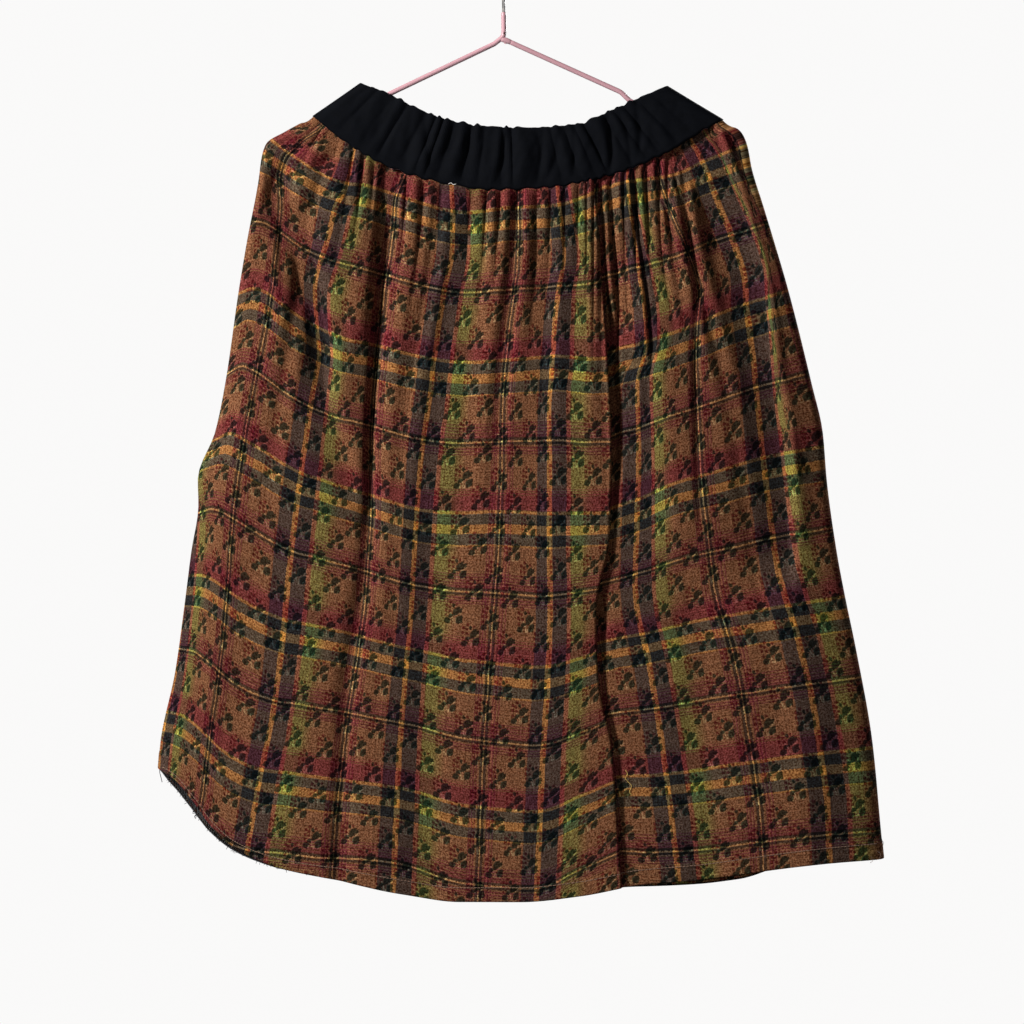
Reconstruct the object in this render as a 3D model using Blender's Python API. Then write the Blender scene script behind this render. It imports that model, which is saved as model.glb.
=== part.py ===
"""Gathered midi skirt hanging on a coated wire hanger.

Units are metres, +Z is up and the front of the skirt faces -Y.  The origin is
the underside of the hook's crown, the point that the whole thing hangs from.

Each panel is one sheet worked out on a grid.  The coordinate c runs across the
cloth from the left side seam (0) to the right one (1), and v runs down it from
the waist seam (0) to the hem (1).  The sheet's outline comes from the side
paths, the seam and the hem; its folds and gathers push it forwards and back.
The wall is then raised on both sides of that sheet.
"""
import math

import bmesh
import bpy
import numpy as np

MM = 0.001

# Wall thicknesses and the clearance between pieces.
CLOTH_WALL = 1.2 * MM
HEM_WALL = 2.2 * MM
HEM_DEPTH = 15.0 * MM
BAND_WALL = 2.6 * MM
SEAM_GAP = 0.36 * MM
SIDE_GAP = 0.3 * MM

# Each panel as cut, before it is gathered.
PANEL_WIDTH = 740.0 * MM
PANEL_LENGTH = 665.0 * MM

# Gathers along each waist seam, and puckers along each half of the waistband.
FRONT_GATHERS = 33
BACK_GATHERS = 28
BAND_PUCKERS = 22
STEPS_PER_WAVE = 4

# Rows of the panels.  The upper ones follow every gather, and the lower ones
# have half as many columns.
GATHER_ROWS = (0.0, 0.024, 0.052, 0.08, 0.10, 0.145)
LOWER_ROWS = (0.21, 0.30, 0.40, 0.505, 0.62, 0.735, 0.85, 0.93)

# Side rounding: the depth of the closed edge, and how much of c it takes at the
# waist seam and lower down.
EDGE_DEPTH = 5.6 * MM
EDGE_SPAN = 0.011
EDGE_SPAN_WAIST = 0.024
EDGE_SPAN_BAND = 0.017
EDGE_STEPS = 3

# Outline in millimetres: x to the right, z up from the hanging point.
LEFT_SIDE = (
    # x, z
    (-174.8, -159.8), (-201.5, -174.2), (-217.8, -184.4), (-222.0, -196.6), (-225.0, -218.7),
    (-235.5, -273.9), (-242.9, -318.0), (-255.8, -406.4), (-265.0, -450.5), (-281.0, -494.7),
    (-280.4, -516.8), (-287.0, -560.9), (-292.6, -605.1), (-301.8, -671.3), (-315.6, -737.6),
    (-317.4, -759.6),
)
RIGHT_SIDE = (
    # x, z
    (202.4, -163.0), (219.2, -174.0), (224.6, -185.4), (229.0, -207.6), (239.2, -240.8),
    (249.3, -273.9), (262.2, -318.0), (284.3, -406.4), (294.4, -450.5), (298.1, -494.7),
    (307.3, -560.9), (315.6, -605.1), (324.8, -649.2), (340.4, -737.6), (347.8, -814.8),
    (350.5, -842.4),
)
WAIST_SEAM = (
    # x, z
    (-174.8, -159.8), (-146.3, -182.8), (-114.1, -202.4), (-68.1, -218.7), (-8.3, -227.6),
    (42.3, -225.6), (96.6, -214.8), (150.9, -193.2), (180.0, -175.4), (202.4, -163.0),
)
FRONT_HEM = (
    # x, z
    (-317.4, -759.6), (-301.8, -776.2), (-274.2, -811.1), (-246.6, -829.5), (-205.2, -847.9),
    (-150.0, -860.8), (-94.8, -872.8), (-39.6, -880.1), (15.6, -880.1), (70.8, -874.6),
    (126.0, -864.5), (181.2, -860.0), (236.4, -852.5), (291.6, -846.0), (350.5, -842.4),
)
BACK_HEM = (
    # x, z
    (-317.4, -759.6), (-308.0, -780.0), (-279.0, -816.5), (-250.0, -836.0), (-205.2, -852.0),
    (-150.0, -861.5), (-94.8, -868.0), (-39.6, -872.0), (15.6, -872.0), (70.8, -872.0),
    (126.0, -870.0), (181.2, -867.3), (218.0, -862.5), (291.6, -842.0), (350.5, -842.4),
)
BAND_TOP = (
    # x, z
    (-131.6, -130.0), (-105.8, -139.6), (-82.8, -151.6), (-55.0, -162.5), (-20.0, -169.3),
    (21.2, -171.2), (72.7, -167.0), (96.6, -156.5), (117.8, -147.2), (134.3, -139.6),
    (151.8, -132.7),
)

# Where marked warp threads of the front panel lie at five heights.
STATION_HEIGHTS = (0.0, 0.10, 0.35, 0.65, 1.0)
FRONT_STATIONS = (
    # name, c, then x in mm at each station height
    ("near left", 0.063, -166.0, -194.0, -221.0, -250.0, -279.0),
    ("first stripe", 0.159, -139.0, -149.0, -178.5, -198.0, -233.0),
    ("second stripe", 0.350, -44.0, -49.0, -71.0, -84.5, -99.5),
    ("third stripe", 0.541, 50.0, 49.0, 42.5, 38.5, 33.0),
    ("fourth stripe", 0.732, 113.0, 114.0, 124.0, 137.0, 154.5),
    ("fifth stripe", 0.923, 178.5, 184.0, 226.5, 264.0, 300.0),
)
BACK_STATIONS = (
    # name, c, then x in mm at each station height
    ("near left", 0.080, -160.0, -187.0, -212.0, -236.0, -266.0),
    ("left half", 0.290, -92.0, -96.0, -106.0, -118.0, -131.0),
    ("middle", 0.500, 6.0, 4.0, 9.0, 13.0, 17.0),
    ("right half", 0.710, 98.0, 103.0, 121.0, 143.0, 163.0),
    ("near right", 0.920, 176.0, 189.0, 230.0, 261.0, 294.0),
)

# The deep fold of the front panel, where the cloth doubles back under itself
# between the third and the fourth stripe.
DEEP_FOLD_FROM = 0.541
DEEP_FOLD_TO = 0.732
DEEP_FOLD_TURN = 6.8 * MM
DEEP_FOLD_RISE_FROM = 0.44
DEEP_FOLD_RISE_TO = 0.85
DEEP_FOLD = (
    # v, c of the front edge, overlap in c
    (0.00, 0.642, 0.014), (0.10, 0.637, 0.026), (0.35, 0.639, 0.038), (0.65, 0.620, 0.024),
    (1.00, 0.663, 0.012),
)
DEEP_FOLD_STEPS = 4

# How far the middle of each panel stands off the hanger's plane, down the cloth.
FRONT_DEPTH = (
    # v, mm
    (0.0, 9.0), (0.10, 14.0), (0.35, 24.0), (0.65, 30.0), (1.0, 34.0),
)
BACK_DEPTH = (
    # v, mm
    (0.0, 8.0), (0.10, 9.5), (0.35, 12.0), (0.65, 13.0), (1.0, 14.0),
)

# Folds as soft ridges (+) and troughs (-) along paths on the front view.
FRONT_FOLDS = (
    # name, height at top and bottom, width on the left and right, path of (x, z), all mm
    ("shoulder trough", -5.0, -3.5, 15, 15,
     ((-214, -223), (-178, -325), (-167, -426), (-123, -522))),
    ("left crease", -7.0, -4.0, 9, 17,
     ((-102, -200), (-111, -260), (-116, -361), (-121, -499), (-125, -568), (-145, -706), (-150, -900))),
    ("narrow pleat", 4.5, 3.0, 10, 5,
     ((99, -200), (114, -225), (130, -357), (123, -430))),
    ("lit swell", 5.0, 3.0, 20, 22,
     ((150, -250), (157, -400), (159, -540))),
    ("facet trough", -6.0, -3.0, 14, 20,
     ((178, -215), (196, -375), (188, -560))),
    ("right ridge", 6.0, 5.0, 20, 7,
     ((190, -172), (232, -279), (248, -347), (265, -451), (276, -560))),
    ("left swell", 4.0, 3.0, 18, 18,
     ((-240, -420), (-262, -560), (-270, -700))),
    ("middle dip", -3.0, -3.5, 20, 20,
     ((-60, -560), (-68, -680), (-72, -900))),
    ("low right dip", -3.0, -3.0, 20, 18,
     ((178, -620), (184, -740), (190, -900))),
    ("far right swell", 3.0, 4.0, 20, 20,
     ((262, -600), (276, -740), (284, -900))),
)
BACK_FOLDS = (
    # name, height at top and bottom, width on the left and right, path of (x, z), all mm
    ("left trough", -3.5, -4.0, 14, 18,
     ((-150, -215), (-168, -360), (-186, -560), (-205, -900))),
    ("left swell", 3.5, 4.0, 16, 14,
     ((-84, -235), (-98, -420), (-110, -640), (-122, -900))),
    ("middle trough", -3.5, -4.5, 16, 12,
     ((-10, -240), (-4, -430), (6, -660), (12, -900))),
    ("right swell", 4.0, 4.0, 14, 18,
     ((72, -235), (88, -420), (104, -640), (118, -900))),
    ("right trough", -3.0, -4.0, 14, 16,
     ((140, -215), (172, -380), (202, -600), (226, -900))),
)
FOLD_FADE = 45.0 * MM

# Gather heights down the cloth: the fine ones, and the broader ones they merge into.
FINE_GATHERS = (
    # v, mm
    (0.0, 1.1), (0.022, 2.1), (0.07, 1.7), (0.125, 0.7), (0.18, 0.0), (0.25, 0.0), (1.0, 0.0),
)
BROAD_GATHERS = (
    # v, mm
    (0.0, 0.4), (0.022, 1.0), (0.07, 1.8), (0.125, 2.0), (0.25, 1.3), (0.42, 0.5), (0.6, 0.0), (1.0, 0.0),
)
BROAD_SHARE = 0.36
GATHER_UNEVENNESS = 0.20
CALM_AT = 0.668
CALM_WIDTH = 0.03
CALM_SHARE = 0.75

# How the waves of gathers and puckers crowd and spread along a seam.
WAVE_DRIFT = (
    # cycles across the seam, share of a wave
    (2, 0.30), (5, 0.22), (9, 0.16),
)
SEED_STEP = 0.37

# Waistband.
BAND_ROWS = 4
BAND_DEPTH_TOP = 8.4 * MM
BAND_PUCKER = 1.1 * MM
BAND_BULGE = 1.2 * MM
BAND_BACK_DROP = 2.5 * MM
BAND_SMOOTH_ENDS = 0.2
BAND_SMOOTH_SHARE = 0.75

# Hanger.
WIRE_RADIUS = 2.3 * MM
HOOK_RADIUS = 1.5 * MM
HOOK_INSIDE = 20.5 * MM
HOOK_SWEEP = (-52.0, 205.0)
HOOK_KNEE_Z = -50.0 * MM
HOOK_HEADING = 38.0
HOOK_BEND_PULL = 11.0 * MM
HANGER_HALF = 223.15 * MM
NECK_Z = -88.0 * MM
STEM_PATH = (
    # x, z in mm, down the stem and round into the left arm
    (0.0, -64.0), (0.0, -80.0), (-0.5, -84.5), (-3.0, -87.6),
)
ARM_START = 9.0 * MM
ARM_MARKS = (50.0 * MM, 160.0 * MM)
ARM_SLOPE = 0.465
HANG_TILT = 0.0105
END_RADIUS = 10.0 * MM
NOTCH_AT = 117.5 * MM
NOTCH_SPAN = 24.0 * MM
NOTCH_DROP = 4.5 * MM
NECK_GAP = 1.1 * MM
JOINT_GAP = 0.3 * MM
BAR_CLEARANCE = 4.0 * MM
BAR_REACH = 0.16

COLOURS = {
    # name: (base colour, roughness, metallic)
    "plaid_cloth": ((0.16, 0.095, 0.055), 0.92, 0.0),
    "black_jersey": ((0.012, 0.012, 0.014), 0.85, 0.0),
    "pink_coating": ((0.76, 0.42, 0.46), 0.38, 0.0),
    "bare_steel": ((0.46, 0.47, 0.48), 0.32, 1.0),
}


def clear_scene():
    """Remove the objects that the scene starts with."""
    for item in list(bpy.data.objects):
        bpy.data.objects.remove(item, do_unlink=True)


def make_material(name):
    """Return the named Principled material."""
    base, roughness, metallic = COLOURS[name]
    material = bpy.data.materials.get(name) or bpy.data.materials.new(name)
    material.use_nodes = True
    shader = material.node_tree.nodes["Principled BSDF"]
    shader.inputs["Base Color"].default_value = (*base, 1.0)
    shader.inputs["Roughness"].default_value = roughness
    shader.inputs["Metallic"].default_value = metallic
    material.diffuse_color = (*base, 1.0)
    return material


def smooth(value):
    """Ease a value from 0 to 1, flat outside that range."""
    value = np.clip(value, 0.0, 1.0)
    return value * value * (3.0 - 2.0 * value)


def curve(at, knots, values):
    """Cubic through the knots that never overshoots them (Fritsch and Carlson)."""
    knots = np.asarray(knots, float)
    values = np.asarray(values, float)
    step = np.diff(knots)
    rise = np.diff(values) / step
    slope = np.zeros_like(values)
    same_way = rise[:-1] * rise[1:] > 0.0
    before = 2.0 * step[1:] + step[:-1]
    after = step[1:] + 2.0 * step[:-1]
    safe_low = np.where(same_way, rise[:-1], 1.0)
    safe_high = np.where(same_way, rise[1:], 1.0)
    mean = (before + after) / (before / safe_low + after / safe_high)
    slope[1:-1] = np.where(same_way, mean, 0.0)
    slope[0] = rise[0]
    slope[-1] = rise[-1]
    at = np.clip(at, knots[0], knots[-1])
    cell = np.clip(np.searchsorted(knots, at, side="right") - 1, 0, len(step) - 1)
    width = step[cell]
    local = (at - knots[cell]) / width
    start, end = values[cell], values[cell + 1]
    return (start * (1.0 + 2.0 * local) * (1.0 - local) ** 2
            + end * local ** 2 * (3.0 - 2.0 * local)
            + slope[cell] * width * local * (1.0 - local) ** 2
            - slope[cell + 1] * width * local ** 2 * (1.0 - local))


def table_curve(at, table, scale=MM):
    """Read a two-column table as a curve, its second column in millimetres."""
    columns = np.array(table, float)
    return curve(at, columns[:, 0], columns[:, 1] * scale)


def line_curve(at_x, table):
    """Height z of a table of (x, z) points at the given x, in metres."""
    points = np.array(table, float) * MM
    return curve(at_x, points[:, 0], points[:, 1])


def side_path(v, table):
    """Point (x, z) a fraction v of the way down a side, by length."""
    points = np.array(table, float) * MM
    length = np.concatenate(([0.0], np.cumsum(np.hypot(*np.diff(points, axis=0).T))))
    share = length / length[-1]
    return curve(v, share, points[:, 0]), curve(v, share, points[:, 1])


def wave_phase(c, count, seed):
    """Phase of uneven waves: count of them from c = 0 to c = 1."""
    c = np.asarray(c, float)
    drift = 0.0
    for order, share in WAVE_DRIFT:
        start = 2.0 * math.pi * seed * SEED_STEP * order
        drift = drift + share * (np.sin(2.0 * math.pi * order * c + start) - math.sin(start))
    return 2.0 * math.pi * (count * c + drift)


def panel_seed(front):
    """Phase seed of a panel's gathers."""
    return 1 if front else 4


def band_seed(front):
    """Phase seed of a waistband half's puckers."""
    return 2 if front else 5


def wave_columns(count, seed, steps=STEPS_PER_WAVE):
    """Columns at the crests, troughs and halfway points of the uneven waves."""
    fine = np.linspace(0.0, 1.0, 8001)
    phase = wave_phase(fine, count, seed)
    wanted = 2.0 * math.pi / steps * np.arange(0, count * steps + 1)
    return np.interp(wanted, phase, fine)


def panel_edge_span(v):
    """Share of c that the closed edge of a panel takes at height v."""
    return EDGE_SPAN_WAIST + (EDGE_SPAN - EDGE_SPAN_WAIST) * smooth(v / 0.07)


def edge_rounding(c, span):
    """Closed quarter-round at both side seams, from 0 at the seam to 1 inside."""
    inside = np.clip(np.minimum(c, 1.0 - c) / span, 0.0, 1.0)
    return np.sqrt(np.clip(1.0 - (1.0 - inside) ** 2, 0.0, 1.0))


def body_rounding(c):
    """Broad swell from side to side, 0 at the seams and 1 across the middle."""
    return np.sqrt(np.clip(1.0 - np.abs(2.0 * c - 1.0) ** 4, 0.0, 1.0))


def side_fade(c):
    """Let folds die out before the side seams."""
    return smooth(np.minimum(c, 1.0 - c) / 0.045)


def sheet_columns(count, seed, span, with_fold=False):
    """Fine columns of a sheet and which of them carry on below the gathers."""
    fine = wave_columns(count, seed)
    fine = fine[(fine > 2.3 * span) & (fine < 1.0 - 2.3 * span)]
    coarse = fine[::2]
    extra = deep_fold_columns() if with_fold else np.array([])
    if with_fold:
        low, high = extra[0] - 0.002, extra[-1] + 0.002
        fine = fine[(fine < low) | (fine > high)]
        coarse = coarse[(coarse < low) | (coarse > high)]
    turn = np.linspace(0.0, 0.5 * math.pi, EDGE_STEPS + 1)
    left = span * np.append(1.0 - np.cos(turn), 1.6)
    edges = np.concatenate((left, 1.0 - left))
    fine = np.unique(np.round(np.concatenate((edges, fine, extra)), 9))
    coarse = np.unique(np.round(np.concatenate((edges, coarse, extra)), 9))
    return fine, np.searchsorted(fine, coarse)


def deep_fold_shape(v):
    """Front edge and overlap of the deep fold at height v, both in c."""
    table = np.array(DEEP_FOLD)
    return curve(v, table[:, 0], table[:, 1]), curve(v, table[:, 0], table[:, 2])


def deep_fold_marks(edge, overlap):
    """Where each of the deep fold's two turns starts and ends, in c."""
    half = 0.5 * DEEP_FOLD_TURN / PANEL_WIDTH
    return [DEEP_FOLD_FROM, edge - half, edge + half, edge + overlap - half, edge + overlap + half,
            DEEP_FOLD_TO]


def deep_fold_columns():
    """Extra columns through the deep fold, at its widest overlap."""
    _, start_one, end_one, start_two, end_two, _ = deep_fold_marks(*DEEP_FOLD[2][1:])
    first = np.linspace(start_one, end_one, DEEP_FOLD_STEPS + 1)
    second = np.linspace(start_two, end_two, DEEP_FOLD_STEPS + 1)
    between = 0.5 * (end_one + start_two)
    return np.concatenate((first, [between], second))


def follow_deep_fold(c, v):
    """Move columns sideways so that they keep to the deep fold's two turns."""
    home = deep_fold_marks(*DEEP_FOLD[2][1:])
    here = deep_fold_marks(*deep_fold_shape(v))
    inside = (c > DEEP_FOLD_FROM) & (c < DEEP_FOLD_TO)
    return np.where(inside, np.interp(c, home, here), c)


def panel_x(c, v, stations):
    """x of a row of the panel, through the marked threads and both sides."""
    marks = [row[1] for row in stations]
    places = [float(curve(v, STATION_HEIGHTS, row[2:])) * MM for row in stations]
    left_x, _ = side_path(v, LEFT_SIDE)
    right_x, _ = side_path(v, RIGHT_SIDE)
    return curve(c, [0.0, *marks, 1.0], [float(left_x), *places, float(right_x)])


def deep_fold_row(c, v, row_x):
    """Double the cloth back: new x, and how far each point stands forwards.

    The cloth turns by up to half a turn at the front edge and back again one
    overlap further on.  Its run is the sum of the cosine of that turn, and its
    set-back the sum of the sine.  Beside the fold it rises and sinks gently, so
    that the layers lie level where they cover each other.
    """
    edge, overlap = deep_fold_shape(v)
    turn_span = DEEP_FOLD_TURN / PANEL_WIDTH
    fine = np.linspace(DEEP_FOLD_FROM, DEEP_FOLD_TO, 1201)
    angle = math.pi * (smooth((fine - edge) / turn_span + 0.5)
                       - smooth((fine - edge - overlap) / turn_span + 0.5))
    run = np.concatenate(([0.0], np.cumsum(np.cos(angle[:-1]))))
    back = np.concatenate(([0.0], np.cumsum(np.sin(angle[:-1])))) * (fine[1] - fine[0]) * PANEL_WIDTH
    share = run / run[-1]
    start, end = np.interp((DEEP_FOLD_FROM, DEEP_FOLD_TO), c, row_x)
    inside = (c > DEEP_FOLD_FROM) & (c < DEEP_FOLD_TO)
    new_x = np.where(inside, start + (end - start) * np.interp(c, fine, share), row_x)
    rise_end = edge - overlap - turn_span
    sink_start = edge + 2.0 * overlap + turn_span
    rise = smooth((c - DEEP_FOLD_RISE_FROM) / (rise_end - DEEP_FOLD_RISE_FROM))
    sink = smooth((c - sink_start) / (DEEP_FOLD_RISE_TO - sink_start))
    return new_x, 0.5 * back[-1] * (rise + sink) - np.interp(c, fine, back)


def fold_heights(x, z, folds):
    """Sum of the soft ridges and troughs at the points (x, z)."""
    total = np.zeros_like(x)
    for _, top_height, low_height, left_width, right_width, path in folds:
        points = np.array(path, float)[::-1] * MM
        centre = curve(z, points[:, 1], points[:, 0])
        top, low = points[-1, 1], points[0, 1]
        share = np.clip((top - z) / (top - low), 0.0, 1.0)
        height = (top_height + (low_height - top_height) * share) * MM
        aside = x - centre
        width = np.where(aside < 0.0, left_width, right_width) * MM
        ends = smooth((z - low) / FOLD_FADE + 1.0) * smooth((top - z) / FOLD_FADE + 1.0)
        total += height * np.exp(-(aside / width) ** 2) * ends
    return total


def gather_heights(c, v, count, seed):
    """Fine gathers at the seam that merge into broader ones further down."""
    fine = table_curve(v, FINE_GATHERS)
    broad = table_curve(v, BROAD_GATHERS)
    swing = np.sin(2.0 * math.pi * (3.0 * c + 0.21 * seed))
    uneven = 1.0 - GATHER_UNEVENNESS * (1.0 - swing)
    uneven = uneven * (1.0 - CALM_SHARE * np.exp(-((c - CALM_AT) / CALM_WIDTH) ** 2))
    small = fine * uneven * np.cos(wave_phase(c, count, seed))
    large = broad * np.cos(wave_phase(c, count * BROAD_SHARE, seed + 2) + 1.3)
    return small + large


def panel_sheet(c_row, v_rows, front):
    """Points of one panel's middle surface, one row of the grid for each v."""
    stations = FRONT_STATIONS if front else BACK_STATIONS
    depths = FRONT_DEPTH if front else BACK_DEPTH
    folds = FRONT_FOLDS if front else BACK_FOLDS
    hem = FRONT_HEM if front else BACK_HEM
    count, seed = FRONT_GATHERS if front else BACK_GATHERS, panel_seed(front)
    sign = -1.0 if front else 1.0

    def place_x(c, v):
        row_x = panel_x(c, v, stations)
        return deep_fold_row(c, v, row_x) if front else (row_x, np.zeros_like(c))

    rows = []
    for v in v_rows:
        c = follow_deep_fold(c_row, v) if front else c_row
        x, forwards = place_x(c, v)
        seam_z = line_curve(place_x(c, 0.0)[0], WAIST_SEAM) - 0.5 * SEAM_GAP
        hem_z = line_curve(place_x(c, 1.0)[0], hem)
        z = (1.0 - v) * seam_z + v * hem_z
        for table, end, near in ((LEFT_SIDE, 0, c), (RIGHT_SIDE, -1, 1.0 - c)):
            straight = z[end]
            _, path_z = side_path(v, table)
            pull = np.clip(1.0 - near / 0.2, 0.0, 1.0) ** 2 * min(1.0, v / 0.02)
            z = z + (path_z - straight) * pull
        place = np.interp(x, panel_x(c, v, stations), c)
        swell = EDGE_DEPTH * edge_rounding(place, panel_edge_span(v))
        swell = swell + (table_curve(v, depths) - EDGE_DEPTH) * body_rounding(place)
        relief = fold_heights(x, z, folds) + gather_heights(place, v, count, seed) + forwards
        out = 0.5 * SIDE_GAP + swell + relief * side_fade(place)
        if v < BAR_REACH:
            out = np.where(side_fade(place) > 0.3, np.maximum(out, BAR_CLEARANCE), out)
        rows.append(np.stack((x, sign * out, z), axis=-1))
    return np.array(rows)


def band_sheet(c_row, v_rows, front):
    """Middle surface of half the waistband, from its top edge to the waist seam."""
    sign = -1.0 if front else 1.0
    depth_seam = (FRONT_DEPTH if front else BACK_DEPTH)[0][1] * MM
    depth_top = BAND_DEPTH_TOP if front else BAND_DEPTH_TOP - 1.0 * MM
    drop = 0.0 if front else BAND_BACK_DROP
    top, low = (np.array(table)[(0, -1), 0] * MM for table in (BAND_TOP, WAIST_SEAM))
    top_x = top[0] + (top[1] - top[0]) * c_row
    low_x = low[0] + (low[1] - low[0]) * c_row
    top_z = line_curve(top_x, BAND_TOP) - drop * body_rounding(c_row)
    low_z = line_curve(low_x, WAIST_SEAM) + 0.5 * SEAM_GAP
    calm_end = 1.0 - smooth(np.minimum(c_row, 1.0 - c_row) / BAND_SMOOTH_ENDS)
    wave = (1.0 - BAND_SMOOTH_SHARE * calm_end) * np.cos(wave_phase(c_row, BAND_PUCKERS, band_seed(front)))
    rows = []
    for v in v_rows:
        x = top_x + (low_x - top_x) * v
        z = top_z + (low_z - top_z) * v
        base = depth_top + (depth_seam - depth_top) * v + BAND_BULGE * math.sin(math.pi * v)
        pucker = BAND_PUCKER * (0.45 + 0.55 * math.cos(0.5 * math.pi * v) ** 2) * wave
        out = 0.5 * SIDE_GAP + EDGE_DEPTH * edge_rounding(c_row, EDGE_SPAN_BAND)
        out = out + (base - EDGE_DEPTH) * body_rounding(c_row) + pucker * side_fade(c_row)
        rows.append(np.stack((x, sign * out, z), axis=-1))
    return np.array(rows)


def sheet_normals(points, seam_row):
    """Unit normals of a grid of points.

    On the side seams they lie level, and on the waist seam square to the seam,
    so that the wall's edges there stay clear of the neighbouring piece.
    """
    across = np.gradient(points, axis=1)
    down = np.gradient(points, axis=0)
    normal = np.cross(across, down)
    normal[:, (0, -1), 1] = 0.0
    seam_x, _, seam_z = across[seam_row].T
    aside = np.stack((-seam_z, np.zeros_like(seam_x), seam_x), axis=-1)
    aside /= np.linalg.norm(aside, axis=-1, keepdims=True)
    normal[seam_row] -= aside * np.sum(normal[seam_row] * aside, axis=-1, keepdims=True)
    return normal / np.linalg.norm(normal, axis=-1, keepdims=True)


def strip_triangles(top, low, top_used, low_used):
    """Triangles between two rows of vertices, where low may skip some columns."""
    faces = []
    for start, end in zip(low_used[:-1], low_used[1:]):
        between = [j for j in top_used if start <= j <= end]
        apex = between[len(between) // 2]
        for left, right in zip(between[:-1], between[1:]):
            foot = start if right <= apex else end
            faces.append((top[left], top[right], low[foot]))
        faces.append((top[apex], low[end], low[start]))
    return faces


def wall_object(name, points, thickness, seam_row, kept, fine_rows, material):
    """Raise a wall on both sides of a sheet and close it into one solid.

    Rows up to fine_rows use every column and the rest use only the kept ones.
    """
    normal = sheet_normals(points, seam_row)
    half = 0.5 * thickness[:, None, None]
    count_rows, count_cols = points.shape[:2]
    used = [list(range(count_cols)) if row <= fine_rows else list(kept) for row in range(count_rows)]
    mesh = bmesh.new()
    outer, inner = (
        [{j: mesh.verts.new(layer[i, j]) for j in used[i]} for i in range(count_rows)]
        for layer in (points + normal * half, points - normal * half))
    for i in range(count_rows - 1):
        for triangle in strip_triangles(outer[i], outer[i + 1], used[i], used[i + 1]):
            mesh.faces.new(triangle)
        for triangle in strip_triangles(inner[i], inner[i + 1], used[i], used[i + 1]):
            mesh.faces.new(triangle[::-1])
    for i in (0, count_rows - 1):
        for start, end in zip(used[i][:-1], used[i][1:]):
            mesh.faces.new((outer[i][start], outer[i][end], inner[i][end], inner[i][start]))
    for j in (0, count_cols - 1):
        for i in range(count_rows - 1):
            mesh.faces.new((outer[i][j], outer[i + 1][j], inner[i + 1][j], inner[i][j]))
    bmesh.ops.triangulate(mesh, faces=mesh.faces[:])
    bmesh.ops.recalc_face_normals(mesh, faces=mesh.faces[:])
    data = bpy.data.meshes.new(name)
    mesh.to_mesh(data)
    mesh.free()
    data.shade_smooth()
    data.materials.append(make_material(material))
    piece = bpy.data.objects.new(name, data)
    bpy.context.collection.objects.link(piece)
    return piece


def make_panel(front):
    """Build the front or the back panel with its turned hem."""
    name = "skirt_front" if front else "skirt_back"
    count = FRONT_GATHERS if front else BACK_GATHERS
    columns, kept = sheet_columns(count, panel_seed(front), EDGE_SPAN, with_fold=front)
    hem_start = 1.0 - HEM_DEPTH / PANEL_LENGTH
    rows = [*GATHER_ROWS, *LOWER_ROWS, hem_start - 0.004, hem_start, 1.0]
    points = panel_sheet(columns, rows, front)
    thickness = np.where(np.array(rows) >= hem_start, HEM_WALL, CLOTH_WALL)
    return wall_object(name, points, thickness, 0, kept, len(GATHER_ROWS) - 1, "plaid_cloth")


def make_band(front):
    """Build one half of the elastic waistband."""
    name = "waistband_front" if front else "waistband_back"
    columns, _ = sheet_columns(BAND_PUCKERS, band_seed(front), EDGE_SPAN_BAND)
    rows = np.linspace(0.0, 1.0, BAND_ROWS)
    points = band_sheet(columns, rows, front)
    thickness = np.full(len(rows), BAND_WALL)
    every = list(range(len(columns)))
    return wall_object(name, points, thickness, -1, every, len(rows), "black_jersey")


def arm_height(x):
    """Height of the hanger's arm at x, with its strap notch."""
    x = np.abs(np.asarray(x, float))
    notch = np.clip((x - NOTCH_AT) / (0.5 * NOTCH_SPAN), -1.0, 1.0)
    dip = NOTCH_DROP * 0.5 * (1.0 + np.cos(math.pi * notch))
    return NECK_Z - ARM_SLOPE * x - dip


def arc_points(centre, radius, start, end, steps):
    """Points (x, z) of an arc between two angles in degrees."""
    angle = np.radians(np.linspace(start, end, steps))
    return np.stack((centre[0] + radius * np.cos(angle), centre[1] + radius * np.sin(angle)), axis=-1)


def hanger_path():
    """Centreline (x, z) of the coated wire: stem, left arm, bar, right arm."""
    stem = [(x * MM, z * MM) for x, z in STEM_PATH]
    notch = np.linspace(NOTCH_AT - 0.5 * NOTCH_SPAN, NOTCH_AT + 0.5 * NOTCH_SPAN, 7)
    arm_x = np.concatenate(([ARM_START, ARM_MARKS[0]], notch, [ARM_MARKS[1]]))
    arm = np.stack((arm_x, arm_height(arm_x)), axis=-1)
    slope = math.degrees(math.atan(ARM_SLOPE))
    end_x = HANGER_HALF - WIRE_RADIUS - END_RADIUS
    end_z = NECK_Z - ARM_SLOPE * end_x - END_RADIUS / math.cos(math.radians(slope))
    bend = arc_points((end_x, end_z), END_RADIUS, 90.0 - slope, -90.0, 9)
    half = np.concatenate((arm, bend))
    tip_x = WIRE_RADIUS * 2.0 + NECK_GAP
    left = [(-x, z) for x, z in half]
    return [*stem, *left, *map(tuple, half[::-1]), (tip_x, float(arm_height(tip_x)))]


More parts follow.
